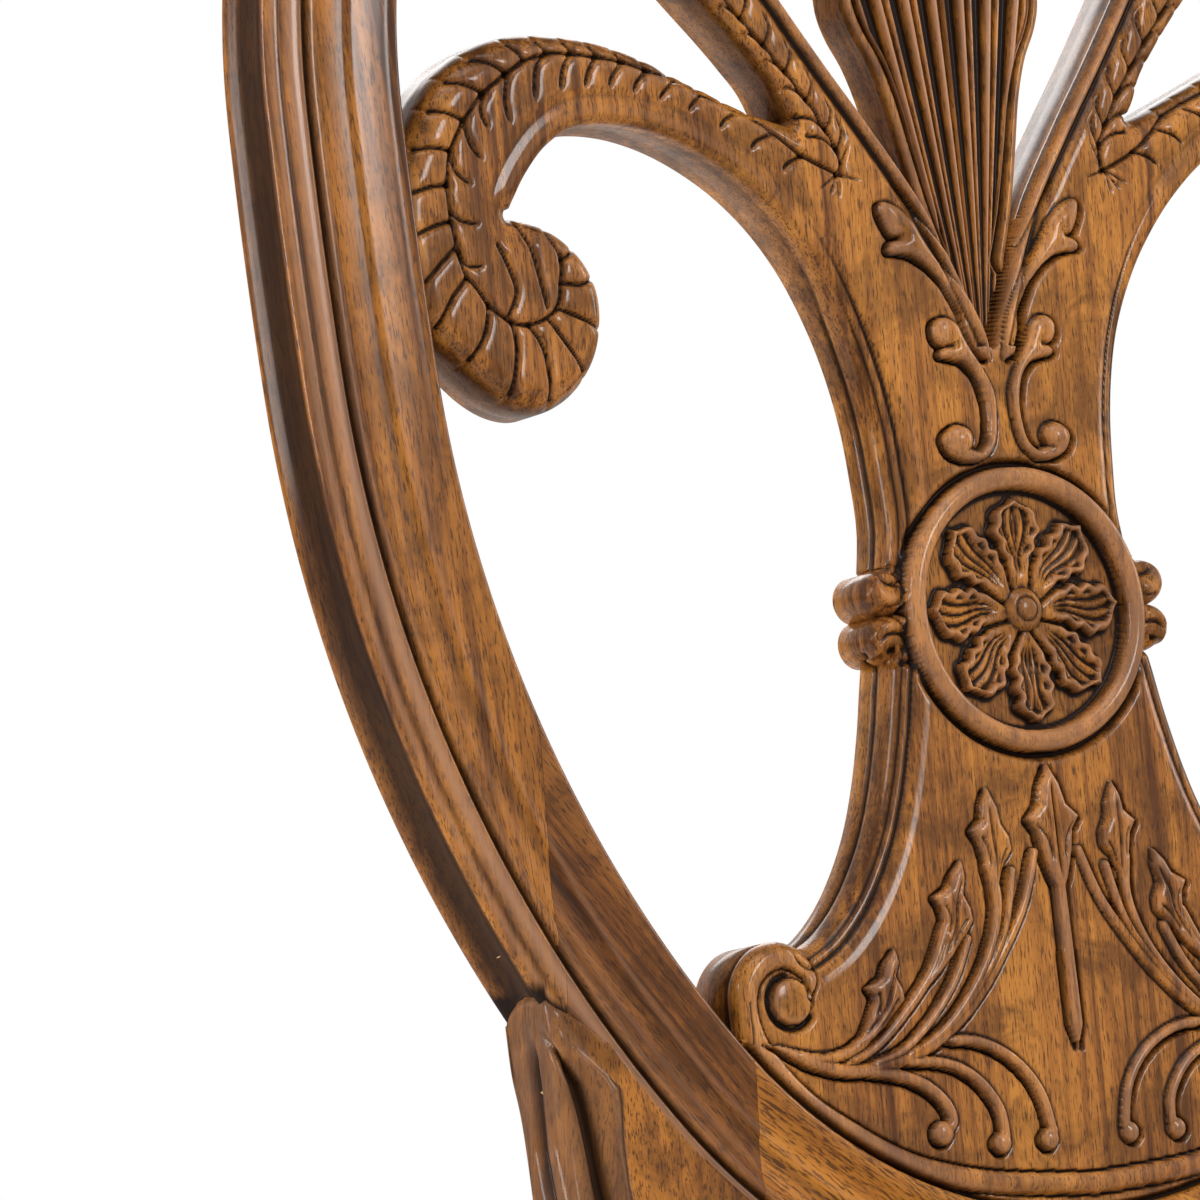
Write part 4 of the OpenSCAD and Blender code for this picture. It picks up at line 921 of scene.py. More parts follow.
for a in np.radians(180 + 360 / PETALS * np.arange(PETALS)):
    # x runs out along the petal, and y across it
    x = middle_u * math.cos(a) + middle_v * math.sin(a)
    y = -middle_u * math.sin(a) + middle_v * math.cos(a) - 0.8 * np.sin(0.32 * x)
    half = np.interp(x, [PETAL_FROM, 9, 15, 21, 26, 30, PETAL_TO], [1.4, 3.4, 5.4, 7.2, 7.6, 5.6, 0])
    half = half + 0.75 * np.sin(1.15 * x) * smooth(x, 11, 18)
    side = (half - abs(y)) * (x > PETAL_FROM) * (x < PETAL_TO)
    rim = np.sqrt(np.clip(1 - (1 - np.clip(side / 1.5, 0, 1)) ** 2, 0, 1))
    dish = smooth(side, 1.4, 3.6) * smooth(x, 8, 16)
    vein = 0.5 + 0.5 * np.cos(np.clip(y / np.maximum(x - 3, 1) * 46, -12, 12))
    lift = GROUND + rim * (2.0 + 2.4 * smooth(x, 3, 26)) - dish * (1.7 + 1.1 * vein)
    rosette = np.where(side > 0, np.maximum(rosette, lift), rosette)
boss = 5.5 * np.sqrt(np.clip(1 - (from_middle / BOSS_R) ** 2, 0, 1)) + GROUND
boss -= 0.9 * swell(from_middle - 3.6, 0.6)
H = np.where(from_middle < RING_IN, np.maximum(rosette, boss), H)

# The fan's face is a mesh of its own, laid along its reeds, so the splat is sunk under it
on_fan = (in_fan > in_main) & (in_main < -0.6 * CELL) & (in_knots < 0)
H = np.where(on_fan, -FAN_BACK - 4.4, H)

# Skin of the splat: the grid's cells inside the outline, with their edge points drawn to the outline
OFF_FACE = -3


def over_mean(cells_wide):
    """How far every point stands over the mean of the face round it."""
    return H - blur(np.where(keep, H, OFF_FACE), cells_wide)


def hollow_patina_and_shade():
    """Painted shade with some old polish: dark in every cut, thin in the wider hollows, and a painted shadow
    along the foot's joint.
    """
    near_by = np.maximum(-1.5 * over_mean(1), -over_mean(2))
    thick = np.clip(near_by / 0.42, 0, 0.95) + np.clip(-over_mean(9) / 4, 0, 0.3)
    return np.clip(np.maximum(thick, (1 - smooth(in_frame, 1, 2.4)) * (V < FOOT_TOP)), 0, 1)


patina_and_shade = hollow_patina_and_shade()
# Painted highlight: a paler tone on the crown of whatever stands over the face round it
painted_sheen = 0.45 * smooth(over_mean(4), 0.25, 1.1) * smooth(from_free, 2, 6)

# From the grid's border down the rounded edge, as shares of the way out to the outline, and on down the
# side wall: [height below the edge's foot, 1 inside the groove, shade]
ROUND = [0.25, 0.48, 0.68, 0.83, 0.93, 0.985, 1]
WALL = [(0.7, 1, 0.35), (2.2, 1, 1), (2.8, 0, 0.4)]
WALL_IN = 0.9
groove = free * np.maximum((from_bay < 5) * (1 - run_out), 0.9 * (from_volute < 5))


def back_faces(points, ring, loops):
    """Triangles that close the back inside its loops; ring has the numbers of the loops' points."""
    order = np.concatenate(loops)
    flat = geometry.tessellate_polygon([[Vector((*points[ring[i], :2], 0)) for i in loop] for loop in loops])
    back = ring[order[np.array(flat)]]
    a, b, c = (points[back[:, k], :2] for k in range(3))
    turned = (b[:, 0] - a[:, 0]) * (c[:, 1] - a[:, 1]) - (b[:, 1] - a[:, 1]) * (c[:, 0] - a[:, 0]) > 0
    back[turned] = back[turned][:, ::-1]
    return back.tolist()


def carved_piece(name, cells_here):
    """A closed solid: the carved skin over the given cells, its side wall and its flat back."""
    rows, cols = np.nonzero(cells_here)
    stride = U.shape[1]
    low = rows * stride + cols
    used, quads = np.unique(np.stack([low, low + 1, low + 1 + stride, low + stride], axis=1),
                            return_inverse=True)
    quads = quads.reshape(-1, 4)
    edges = np.vstack([quads[:, [k, (k + 1) % 4]] for k in range(4)])
    key = edges.min(axis=1) * len(used) + edges.max(axis=1)
    _, first, count = np.unique(key, return_index=True, return_counts=True)
    rim_points, rim = np.unique(edges[first[count == 1]], return_inverse=True)
    rim = rim.reshape(-1, 2)
    n = len(rim_points)

    def at_rim(field):
        return field.ravel()[used[rim_points]]

    rim_u, rim_v, rim_w = (at_rim(field) for field in (U, V, H))
    out_u, out_v = at_rim(OUT_U * on_edge), at_rim(OUT_V * on_edge)
    gap, in_groove = at_rim(inset), at_rim(groove)
    lines = [at_rim(field) for field in EDGES]
    owns = [line <= gap + 0.45 for line in lines]

    def edge_at(d):
        """Height of the rounded edge at a distance inside the outline."""
        spread = [np.where(own, d, line) for own, line in zip(owns, lines)]
        return edge_height(*spread, at_rim(run_out), rim_v)

    # Rings from the rim outwards and down: [way out, height, shade]
    # Painted shade down the rounded edge and the wall, heavier on the outer roll of the scroll and the branch
    outer_roll = owns[1] | owns[2]
    rounded = at_rim(on_edge) & (gap > 0.1)
    carved_more = rim_w - edge_at(gap)
    rings = []
    for part in ROUND:
        height = np.where(rounded, edge_at(gap * (1 - part)) + carved_more * (1 - 0.6 * part), rim_w)
        rings.append((gap * part, height, 0.12 * (1 - part) + 0.6 * outer_roll * smooth(part, 0.4, 0.95)))
    foot = np.where(rounded, rings[-1][1], rim_w - 0.3)
    for below, cut_in, tone in WALL:
        shade = np.maximum(tone * (in_groove if cut_in else 1), 0.5 * outer_roll)
        rings.append((gap - WALL_IN * in_groove * cut_in, np.maximum(foot - below, 2 - SPLAT_T), shade))
    rings += [(gap, np.full(n, 1.0 - SPLAT_T), 0), (gap - WALL_IN, np.full(n, -float(SPLAT_T)), 0)]

    points = [np.stack([field.ravel()[used] for field in (U, V, H)], axis=1)]
    shades = [patina_and_shade.ravel()[used]]
    strips = []
    start, end = rim.T
    above = rim_points
    base = len(used)
    for away, height, tone in rings:
        points.append(np.stack([np.minimum(rim_u + out_u * away, 0), rim_v + out_v * away, height], axis=1))
        shades.append(tone + np.zeros(n))
        here = base + np.arange(n)
        strips.append(np.stack([above[end], above[start], here[start], here[end]], axis=1))
        above = here
        base += n
    points = np.vstack(points)

    after = dict(rim.tolist())
    loops = []
    while after:
        loop = [next(iter(after))]
        while after.get(loop[-1]) is not None:
            loop.append(after.pop(loop[-1]))
        loops.append(loop[:-1])
    faces = quads.tolist() + np.vstack(strips).tolist() + back_faces(points, above, loops)
    piece = new_object(name, place(points), faces, splat_wood)
    sharpen(piece, above, rim_points[~at_rim(on_edge)])
    point_values(piece, "patina_and_shade", np.concatenate(shades))
    point_values(piece, "painted_sheen", np.append(painted_sheen.ravel()[used], np.zeros(len(points) - len(used))))
    return piece


row_v = ROWS[:-1, None] + CELL / 2
for label, part in (("lower", row_v < MEDALLION[1]), ("upper", row_v > MEDALLION[1])):
    left_half = dress(carved_piece(f"splat_{label}_left", cells & part), "mahogany", "splat")
    dress(mirrored_copy(left_half, f"splat_{label}_right"), "mahogany", "splat")


# Fan: reeds in pairs, a wide one and a thin one, with a deep groove after each pair. They run on past
# the middle, so the right half isn't a mirror of the left. A rolled border follows the fan's side.
FAN_FOOT = 285
PAIR = 4.7
PAIRS = 10
FIRST_PAIR = -21.6
FAN_TURN = 17.5
REED_SHARES = np.array([0, 0.03, 0.08, 0.14, 0.21, 0.28, 0.34, 0.39, 0.42, 0.44, 0.47, 0.52, 0.595, 0.67,
                        0.72, 0.74, 0.8, 0.94])
REED_ROWS = np.arange(293, 451, 1.5)
BORDER_W = 4.9
BORDER_AT = np.array([4.5, 4, 3.4, 2.7, 2, 1.4, 0.9, 0.5, 0.2, 0])
APART = 0.01
REED_LAP = 1.5
shown = smooth(REED_ROWS, 318, 328)[:, None]
# How far out from the middle the fan and its reeds reach in each row
fan_end = -np.interp(REED_ROWS, fan_side[:, 1], fan_side[:, 0])[:, None]
reed_end = fan_end - (BORDER_W + REED_LAP) * shown + REED_LAP


def hump(share, start, end):
    """A smooth rise and fall between two shares of a reed pair."""
    t = np.clip((share - start) / (end - start), 0, 1)
    return np.sin(np.pi * t) ** 1.2


def reeded_fan(name, half):
    """The reeds of one half of the fan as a thin carved slab; half is -1 on the left and 1 on the right."""
    turns = (FIRST_PAIR + PAIR * (np.arange(PAIRS)[:, None] + REED_SHARES)).ravel()
    shares = np.tile(REED_SHARES, PAIRS)
    here = (half * turns > 0.05) & (abs(turns) < FAN_TURN)
    order = np.argsort(-half * turns[here])
    turns = np.append(turns[here][order] * half, 0)[::-1]
    shares = np.append(shares[here][order], (-FIRST_PAIR / PAIR) % 1)[::-1]
    up = REED_ROWS[:, None] - FAN_FOOT
    side = np.minimum(up * np.tan(np.radians(turns)), reed_end - APART * np.arange(len(turns), 0, -1))
    pair_w = np.minimum(np.radians(PAIR) * np.hypot(side, up), 10)
    reeds = np.maximum(0.44 * hump(shares, 0, 0.42), 0.32 * hump(shares, 0.45, 0.74))
    top = -FAN_BACK - 2.8 + pair_w * reeds - 1.2 * (1 - smooth(reed_end - side, 0, 1)) * shown
    border = reed_end + (BORDER_W - BORDER_AT) * shown + APART * np.arange(len(BORDER_AT))
    roll = -FAN_BACK - 0.4 + quarter(BORDER_AT, 2.2, 3) - 3.4 * smooth(BORDER_AT, 2.6, 4.6)
    side = np.hstack([side, border])
    top = np.hstack([top, roll + 0 * border])
    under = np.minimum(top - 1, -FAN_BACK - 5)
    points = np.stack([np.stack([-side, REED_ROWS[:, None] + 0 * side, w], axis=2) for w in (top, under)])
    faces, rim = slab_faces(*side.shape)
    piece = new_object(name, place(points.reshape(-1, 3)), faces, splat_wood)
    sharpen(piece, rim)
    # Painted shade, near black, down in the grooves and in the border's hollow, and a painted highlight on
    # the reeds' crowns and along the border's roll
    dark = np.append(1 - smooth(reeds, 0.05, 0.2), np.interp(BORDER_AT, [0, 2.4, 3, 4], [0.3, 0.1, 0.4, 1]))
    reed_sheen_paint = np.append(smooth(reeds, 0.2, 0.42), 0.5 * swell(BORDER_AT - 1.4, 0.8))
    point_values(piece, "patina_and_shade", np.tile(dark, 2 * len(REED_ROWS)))
    point_values(piece, "painted_sheen", np.tile(reed_sheen_paint, 2 * len(REED_ROWS)))
    return piece


dress(reeded_fan("splat_fan_left", -1), "mahogany", "splat")
dress(turned_over(reeded_fan("splat_fan_right", 1)), "mahogany", "splat")


# Rear legs: level sections swept up each leg, carved on the stile's front and outer side

RAIL_TOP = 426
SEAT_HALF = 182
STILE_PROUD = 3
SHIFT_Y = BACK_Y - (SHIELD_Z - RAIL_TOP) * math.tan(RAKE)


def stile_front(z):
    """Where the stile's front stands at a height, before the shift along Y."""
    return (z - RAIL_TOP) * math.tan(RAKE) - STILE_PROUD


def up_back(y, z):
    """Height v up the back of points of the chair, in millimetres."""
    return (z - SHIELD_Z) * math.cos(RAKE) + (y - BACK_Y) * math.sin(RAKE)


def shield_left(v, inwards):
    """Where the shield's lower left edge stands at a height v, or a line set inwards from it."""
    foot = (FOOT_R - inwards) ** 2 - (v - FOOT_R) ** 2
    low = (LOW_SIDE_R - inwards) ** 2 - (v - LOW_V) ** 2
    joint = FOOT_R - (FOOT_R - inwards) * math.sin(math.radians(LOW_TURN))
    foot, low = np.sqrt(np.clip(foot, 0, None)), np.sqrt(np.clip(low, 0, None))
    return np.where(v < joint, -foot, LOW_U - low)


# Stations up the leg: [height, outer side, width, front, depth], before the shift along Y
LEG_TOP = 632.4
LEG = spline([
    (4, 187, 27, 99, 28), (60, 186, 28.5, 71, 29.5), (130, 184.5, 31, 44, 32), (210, 183.2, 35, 22, 34.5),
    (290, 182.4, 40, 7, 37), (356, 182, 42, 0, 38), (426, 182, 42, 0, 38),
    (462, 180, 41, stile_front(462), 33), (510, 179.4, 42, stile_front(510), 28.6),
    (556, 179.4, 48, stile_front(556), 28.6), (588, 180, 46, stile_front(588), 28.6),
    (614, 182.5, 40, stile_front(614), 27.6), (LEG_TOP, 183.5, 30, stile_front(LEG_TOP), 26.6)], 12)
leg_z = np.concatenate([np.arange(4, 440, 9.0), np.arange(440, LEG_TOP, 0.9), [LEG_TOP]])[:, None]
outer, width, front, deep = (np.interp(leg_z, LEG[:, 0], LEG[:, k]) for k in (1, 2, 3, 4))
left = -outer
levels = len(leg_z)

# On the back's lower curve the stile's front laps over the shield's outer roll, up to its groove
ROLL_W = 11.8
front_v = up_back(front + SHIFT_Y, leg_z)
lap = shield_left(np.maximum(front_v, 20), ROLL_W) - left
wide_front = width + np.clip(lap - width, 0, None) * smooth(front_v, 0, 20)

# Each level section is a run of points: down the outer side, across the front, along the inner side and
# across the rear, with an arris between them
ARRIS = 3.5
SIDE_N, FRONT_N, INNER_N, REAR_N, TURN_N = 34, 56, 10, 12, 8
arris = np.minimum(ARRIS, width / 4)
down, across, down_in, back_again = (
    np.linspace(start, 1 - start, count)[None, :]
    for start, count in ((1, SIDE_N), (0, FRONT_N), (0, INNER_N), (1, REAR_N)))


def arris_turn(start):
    """Unit steps round an arris, from a turn in degrees on."""
    a = np.radians(np.linspace(start, start + 90, TURN_N, endpoint=False) + 45 / TURN_N)
    return np.cos(a), np.sin(a)


(ax, ay), (bx, by), (cx, cy), (dx, dy) = (arris_turn(start) for start in (180, 270, 0, 90))
first_x, first_y, last_y = left + arris, front + arris, front + deep - arris
runs_x = [
    left + 0 * down, first_x + arris * ax, first_x + (wide_front - 2 * arris) * across,
    left + wide_front - arris + arris * bx, left + width + 0 * down_in, left + width - arris + arris * cx,
    first_x + (width - 2 * arris) * back_again, first_x + arris * dx]
runs_y = [
    first_y + (deep - 2 * arris) * down, first_y + arris * ay, front + 0 * across, first_y + arris * by,
    first_y + (deep - 2 * arris) * down_in, last_y + arris * cy, front + deep + 0 * back_again,
    last_y + arris * dy]
# Place across the carved faces, in millimetres from their arris, and the way that they face
runs_s = [-arris - (deep - 2 * arris) * down, arris * np.linspace(-1, 1, TURN_N),
          arris + (wide_front - 2 * arris) * across]
runs_nx = [-1 + 0 * down, ax, 0 * across]
runs_ny = [0 * down, ay, -1 + 0 * across]


def leg_field(runs, fill=0.0):
    """One array over all rings and points, with fill where a run has no value."""
    parts = [np.broadcast_to(run, (levels, run.shape[-1])) for run in runs]
    missing = sum(run.shape[-1] for run in runs_x) - sum(part.shape[1] for part in parts)
    return np.hstack(parts + [np.full((levels, missing), fill)])


X, Y = leg_field(runs_x), leg_field(runs_y)
S, NX, NY = leg_field(runs_s, 60.0), leg_field(runs_nx), leg_field(runs_ny)
S[:, -REAR_N - TURN_N:] = -30
Z = np.broadcast_to(leg_z, X.shape).copy()
# The carving runs down the front and the outer side only
place_in_ring = np.arange(X.shape[1])[None, :]
carved = place_in_ring < SIDE_N + TURN_N + FRONT_N
on_front = place_in_ring < SIDE_N + TURN_N + FRONT_N + TURN_N
leg_v = up_back(Y + SHIFT_Y, Z)

# Lines of the stile's leaf by height up the back: a soft groove and a rib on the outer side, then a deep
# groove, a rolled rim and the rim's edge on the front. Below 0 is on the side, above 0 on the front.
LEAF_V = [-34, 20, 57, 65, 76, 87, 94, 101, 108, 116]
LEAF_LINES = {
    "soft": [-13, -16.5, -16.5, -17.6, -18.4, -16.5, -14.5, -13.4, -13.4, -13.6],
    "rib": [-8, -8, -7.5, -9, -10.3, -10, -9, -8.2, -9.8, -12],
    "deep": [6, 8, 7.8, 7, 6.4, 5.9, 5.2, 2.3, -5.5, -10],
    "rim": [11, 14, 14, 13.5, 13.2, 14, 14.6, 12.3, 6, -4],
    "edge": [13, 16.8, 16.3, 16, 16.8, 19, 19.5, 17, 12, 4]}
TIP_S = -13.6


def by_leaf(name, wide):
    """1 along one line of the leaf, falling off to both sides of it."""
    return swell(S - np.interp(leg_v, LEAF_V, LEAF_LINES[name]), wide)


leaf_start = smooth(leg_v, LEAF_V[0], 14)
leaf_fade = leaf_start * (1 - smooth(leg_v, 98, 113)) * carved
past_edge = smooth(S - np.interp(leg_v, LEAF_V, LEAF_LINES["edge"]), -0.4, 1.1)
lift = (-2.8 * by_leaf("soft", 2.6) + 0.9 * by_leaf("rib", 1.3) - 4.2 * by_leaf("deep", 2.1)
        + 2.2 * by_leaf("rim", 2.6) - 0.3 * past_edge) * leaf_fade
# Painted shade with some patina in the leaf's grooves, along its edge and over its top; a painted highlight
# on the leaf's body
leg_patina_and_shade = (0.6 * by_leaf("soft", 2) + 0.9 * by_leaf("deep", 1.7) + 0.5 * by_leaf("edge", 0.8)
             + 0.5 * (1 - past_edge)) * leaf_fade + 0.15 * (1 - leaf_fade)
leg_patina_and_shade = np.maximum(leg_patina_and_shade, 0.5 * smooth(leg_v, 98, 110))
leg_painted_sheen = 0.3 * (1 - past_edge) * leaf_start * carved
X = X + NX * lift
Y = Y + NY * lift

# The leaf's rounded tip, and its meeting with the shield's outer edge
from_tip = S - TIP_S
tip_drop = np.clip(np.where(from_tip < 0, 7.2 * (from_tip / 13) ** 2, 2.6 * (from_tip / 13.6) ** 2), 0, 14)
tip_drop = tip_drop * smooth(leg_v, 82, 119)
Y = Y - tip_drop * math.sin(RAKE)
Z = Z - tip_drop * math.cos(RAKE)
rounding = 1.8 * (1 - np.sqrt(np.clip(1 - np.clip((leg_v - 115.5) / 3.5, 0, 1) ** 2, 0, 1)))
X = X - NX * rounding
Y = Y - NY * rounding
leg_v = up_back(Y + SHIFT_Y, Z)
roll_edge = shield_left(leg_v, ROLL_W)
to_roll = np.clip(roll_edge - X, 0, None)
# Painted shade along the line where the stile's front meets the shield's roll
leg_patina_and_shade = np.maximum(leg_patina_and_shade, 0.9 * swell(to_roll, 1.3) * (leg_v > 0) * carved)
stop = np.where(on_front, roll_edge - 0.3, shield_left(leg_v, 0) - GLUE_GAP)
X = np.where(leg_v > 0, np.minimum(X, stop), X)
# The front falls away towards the shield's groove
Y = Y + 2.4 * swell(np.clip(roll_edge - X, 0, None), 2) * (leg_v > 0) * on_front

# Steps of the leaf's rounded top: share of the way in, and drop
TIP_DOME = [(0.06, 0.2), (0.2, 1.2), (0.3, 3), (0.5, 6)]


def rear_leg(name):
    """The leg's skin along its levels, closed under its foot and by a low dome at the top."""
    n = X.shape[1]
    points = np.stack([X.ravel(), Y.ravel() + SHIFT_Y, Z.ravel()], axis=1)
    # The dome sinks to a gap against the shield; its outer steps are painted half dark and its inner steps
    # black, as shade
    top = points[-n:]
    middle = top.mean(axis=0) + (2, 4, 0)
    dome = [top + (middle - top) * share - (0, 0, drop) for share, drop in TIP_DOME]
    middle[2] = top[:, 2].min() - 4
    end = len(points) + n * len(dome)
    skin = strips_between(range(0, end, n), n)
    skin += [[end - n + i, end - n + (i + 1) % n, end] for i in range(n)]
    leg = new_object(name, np.vstack([points, *dome, middle[None]]) / 1000, skin + [list(range(n))[::-1]],
                     leg_wood)
    sharpen(leg, slice(n))
    shade = [np.clip(leg_patina_and_shade, 0, 0.95).ravel(), np.full(2 * n, 0.5), np.ones(n * (len(dome) - 2) + 1)]
    point_values(leg, "patina_and_shade", np.concatenate(shade))
    point_values(leg, "painted_sheen", np.append(leg_painted_sheen.ravel(), np.zeros(n * len(dome) + 1)))
    return leg


left_leg = dress(rear_leg("rear_leg_left_carved"), "mahogany", "rear_leg_left")
dress(mirrored_copy(left_leg, "rear_leg_right_carved"), "mahogany", "rear_leg_right")

# Painted shadow in the gap above the leaf's tip: the shield's colour is darkened just over the stile's top
# edge
GAP_W = 4.4
tip_u, tip_v = X[-1][on_front[0]], leg_v[-1][on_front[0]]
for label, sign in (("left", -1), ("right", 1)):
    shield_side = bpy.data.objects[f"shield_side_{label}_moulded"]
    spots = mesh_points(shield_side) * 1000
    tip_at = np.interp(-abs(spots[:, 0]), np.maximum.accumulate(tip_u), tip_v)
    over = up_back(spots[:, 1], spots[:, 2]) - tip_at
    gap = (over > -8) * (1 - smooth(over, 0.6, GAP_W)) * (sign * spots[:, 0] > -tip_u.max())
    finish = shield_side.data.attributes["patina_and_shade"].data
    values = np.empty(len(spots), np.float32)
    finish.foreach_get("value", values)
    finish.foreach_set("value", np.maximum(values, gap).astype(np.float32))


# Seat: the plan line round its frame, with notches for the stiles, as the solids have it

RAIL_BOTTOM = 364
SEAT_FRONT = -420
SEAT_W = 500
LEG_TOP_W = 42
SEAT_BOW = 26
TONGUE_BACK = 30
COVER_FACE = 1.9
COVER_GAP = 0.4
STUFF_Z = 428.6
ROLL = 16
CROWN = 42
HEAD_R = 8
bow_half = SEAT_W / 2 - LEG_TOP_W
BOW_R = ((bow_half - GLUE_GAP) ** 2 + SEAT_BOW ** 2) / (2 * SEAT_BOW)
BOW_C = np.array([0, SEAT_FRONT - SEAT_BOW + BOW_R])
SEAT_C = np.array([0, SEAT_FRONT / 2])


def stretch_of(a, b, step, length=None):
    """Points from a to just before b; length, where given, sets their number instead of the real one."""
    n = max(2, round((length or np.hypot(b[0] - a[0], b[1] - a[1])) / step))
    return np.linspace(a, b, n, endpoint=False)


def seat_line(grow, step=6.0):
    """The plan line moved out by grow: points (x, y), and 1 where the cover hangs over a rail."""
    fx, bx, r = SEAT_W / 2 + grow, SEAT_HALF + grow, BOW_R + grow
    lead = 1.2 + COVER_FACE - grow
    y1, x1, back = -lead, SEAT_HALF - LEG_TOP_W - lead, TONGUE_BACK + grow
    spread = math.degrees(math.asin(bow_half / r))
    front_run = arc(BOW_C, r, 270, 270 - spread, spread / round(bow_half / step) + 1e-9)
    head = arc((HEAD_R - SEAT_W / 2, SEAT_FRONT + HEAD_R), HEAD_R + grow, 270, 180, 15)
    side_run = stretch_of((-fx, SEAT_FRONT + LEG_TOP_W), (-bx, y1), step, 380)
    inner = stretch_of((-bx + 0.3, y1), (-x1, y1), step, 45)
    tongue = stretch_of((-x1, y1 + 0.3), (-x1, back - 0.3), step, 32)
    rear = stretch_of((-x1, back), (0, back), step, 137)
    left = np.vstack([front_run, head, side_run, inner, tongue, rear])
    hangs = np.ones(len(left))
    start = len(front_run) + len(head) + len(side_run)
    hangs[start:start + len(inner) + len(tongue)] = 0
    right = left[:0:-1] * (-1, 1)
    return np.vstack([left, [(0, back)], right]), np.concatenate([hangs, [1], hangs[:0:-1]])


def away_from_seat(line):
    """Unit steps out of a closed plan line, one at each of its points."""
    along = np.roll(line, -1, axis=0) - np.roll(line, 1, axis=0)
    out = np.stack([along[:, 1], -along[:, 0]], axis=1) / np.linalg.norm(along, axis=1)[:, None]
    return out * np.sign((out * (line - SEAT_C)).sum(axis=1))[:, None]


def seat_place(p):
    """Points over the seat frame, in millimetres, as points of the chair in metres."""
    return (np.asarray(p, float) + (0, SHIFT_Y, 0)) / 1000


def flat_sheet(name, outline, heights, thick, step, material):
    """A thin closed sheet over a plan outline; heights gives its underside over (x, y)."""
    (x0, y0), (x1, y1) = outline.min(axis=0) + step / 2, outline.max(axis=0)
    x, y = (grid.ravel() for grid in np.meshgrid(np.arange(x0, x1, step), np.arange(y0, y1, step)))
    pairs = zip(outline, np.roll(outline, -1, axis=0))
    far = np.min([from_stretch(a, b, x, y)[0] for a, b in pairs], axis=0)
    inner = np.stack([x, y], axis=1)[is_inside(outline, x, y) & (far > 0.4 * step)]
    n = len(outline)
    ring = [(i, (i + 1) % n) for i in range(n)]
    flat = [Vector(p) for p in np.vstack([outline, inner])]
    points, _, faces, *_ = geometry.delaunay_2d_cdt(flat, ring, [list(range(n))], 1, 1e-6)
    xy = np.array([tuple(p) for p in points])
    count = len(xy)
    z = heights(xy[:, 0], xy[:, 1])
    edges = dict.fromkeys((a, b) for face in faces for a, b in zip(face, face[1:] + face[:1]))
    solid = [face[::-1] for face in faces] + [[i + count for i in face] for face in faces]
    solid += [[a, b, b + count, a + count] for a, b in edges if (b, a) not in edges]
    both = np.vstack([np.column_stack([xy, z]), np.column_stack([xy, z + thick])])
    return new_object(name, seat_place(both), solid, material)


def weave(name, thread, light, dark, bump=0.5, sheen=0.2, rough=0.85, slub=0.3):
    """Plain woven cloth; thread is the distance between threads in metres."""
    n = Nodes(name)
    flat = n.coords()
    wobble = n.noise(flat, 0.12 / thread, 3, 0.5)
    turns = 2 * math.pi / thread
    parts = n.add("ShaderNodeSeparateXYZ", inputs={"Vector": flat})
    drift = n.maths("MULTIPLY", wobble, 1.6)
    over = n.maths("SINE", n.maths("ADD", n.maths("MULTIPLY", parts.outputs[0], turns), drift))
    along = n.maths("ADD", parts.outputs[1], parts.outputs[2])
    under = n.maths("SINE", n.maths("ADD", n.maths("MULTIPLY", along, turns), drift))
    threads = n.maths("ADD", n.maths("MULTIPLY", n.maths("MULTIPLY", over, under), 0.5), 0.5)
    slubs = n.noise(n.coords(scale=(1 / (6 * thread), 1 / (0.9 * thread), 1 / (0.9 * thread))), 0.4, 3, 0.6)
    clouds = n.noise(flat, 14, 4, 0.6)
    colour = n.ramp(threads, (0.15, dark), (0.75, light))
    colour = n.mix(n.ramp(slubs, (0.5, 0.0), (0.75, slub)), colour, dark)
    colour = n.mix(n.ramp(clouds, (0.4, 0.0), (0.75, 0.22)), colour, tuple(0.8 * c for c in dark))
    n.put("Base Color", colour)
    n.put("Roughness", rough)
    n.put("Specular IOR Level", 0.25)
    n.put("Sheen Weight", sheen)
    n.bump((clouds, 0.15, 0.002), (slubs, 0.3, 0.4 * thread), (threads, bump, 0.5 * thread))
    return n.material


cover_cloth = weave("cream_cover", 0.0009, (0.72, 0.62, 0.44), (0.5, 0.41, 0.27))
hessian = weave("hessian", 0.0016, (0.4, 0.28, 0.14), (0.14, 0.09, 0.04), 0.8, 0.1, 0.95, 0.6)
jute = weave("jute_webbing", 0.0021, (0.5, 0.38, 0.21), (0.24, 0.16, 0.08), 0.8, 0.1, 0.95, 0.5)
black_cloth = weave("black_cambric", 0.0007, (0.028, 0.027, 0.026), (0.012, 0.012, 0.012), 0.4, 0.3, 0.9)


def crown_z(t):
    """Height of the seat's crown at a share of the way out from its middle."""
    return STUFF_Z + ROLL + (CROWN - ROLL) * (1 - t ** 2.6)


# How far the pad starts below its crown, and over its bed
PAD_SUNK = 3
PAD_FOOT = STUFF_Z + 0.25


def pad_body():
    """The stuffing and the cover's top as one closed body, a little flatter than it ends."""
    line, _ = seat_line(0.2)
    n = len(line)
    rows = [(1, PAD_FOOT), (1, STUFF_Z + 5), (0.996, STUFF_Z + 10), (0.985, STUFF_Z + 13.5)]
    rows += [(t, crown_z(t) - PAD_SUNK) for t in (0.96, 0.92, 0.87, 0.8, 0.72, 0.62, 0.5, 0.36, 0.2, 0.08)]
    points = [np.column_stack([SEAT_C + (line - SEAT_C) * t, np.full(n, z)]) for t, z in rows]
    end = len(rows) * n
    skin = strips_between(range(0, end, n), n)
    skin += [[end - n + i, end - n + (i + 1) % n, end] for i in range(n)]
    skin += [[(i + 1) % n, i, end + 1] for i in range(n)]
    tips = [(*SEAT_C, crown_z(0) - PAD_SUNK), (*SEAT_C, PAD_FOOT)]
    return new_object("seat_pad", seat_place(np.vstack(points + [tips])), skin, cover_cloth)


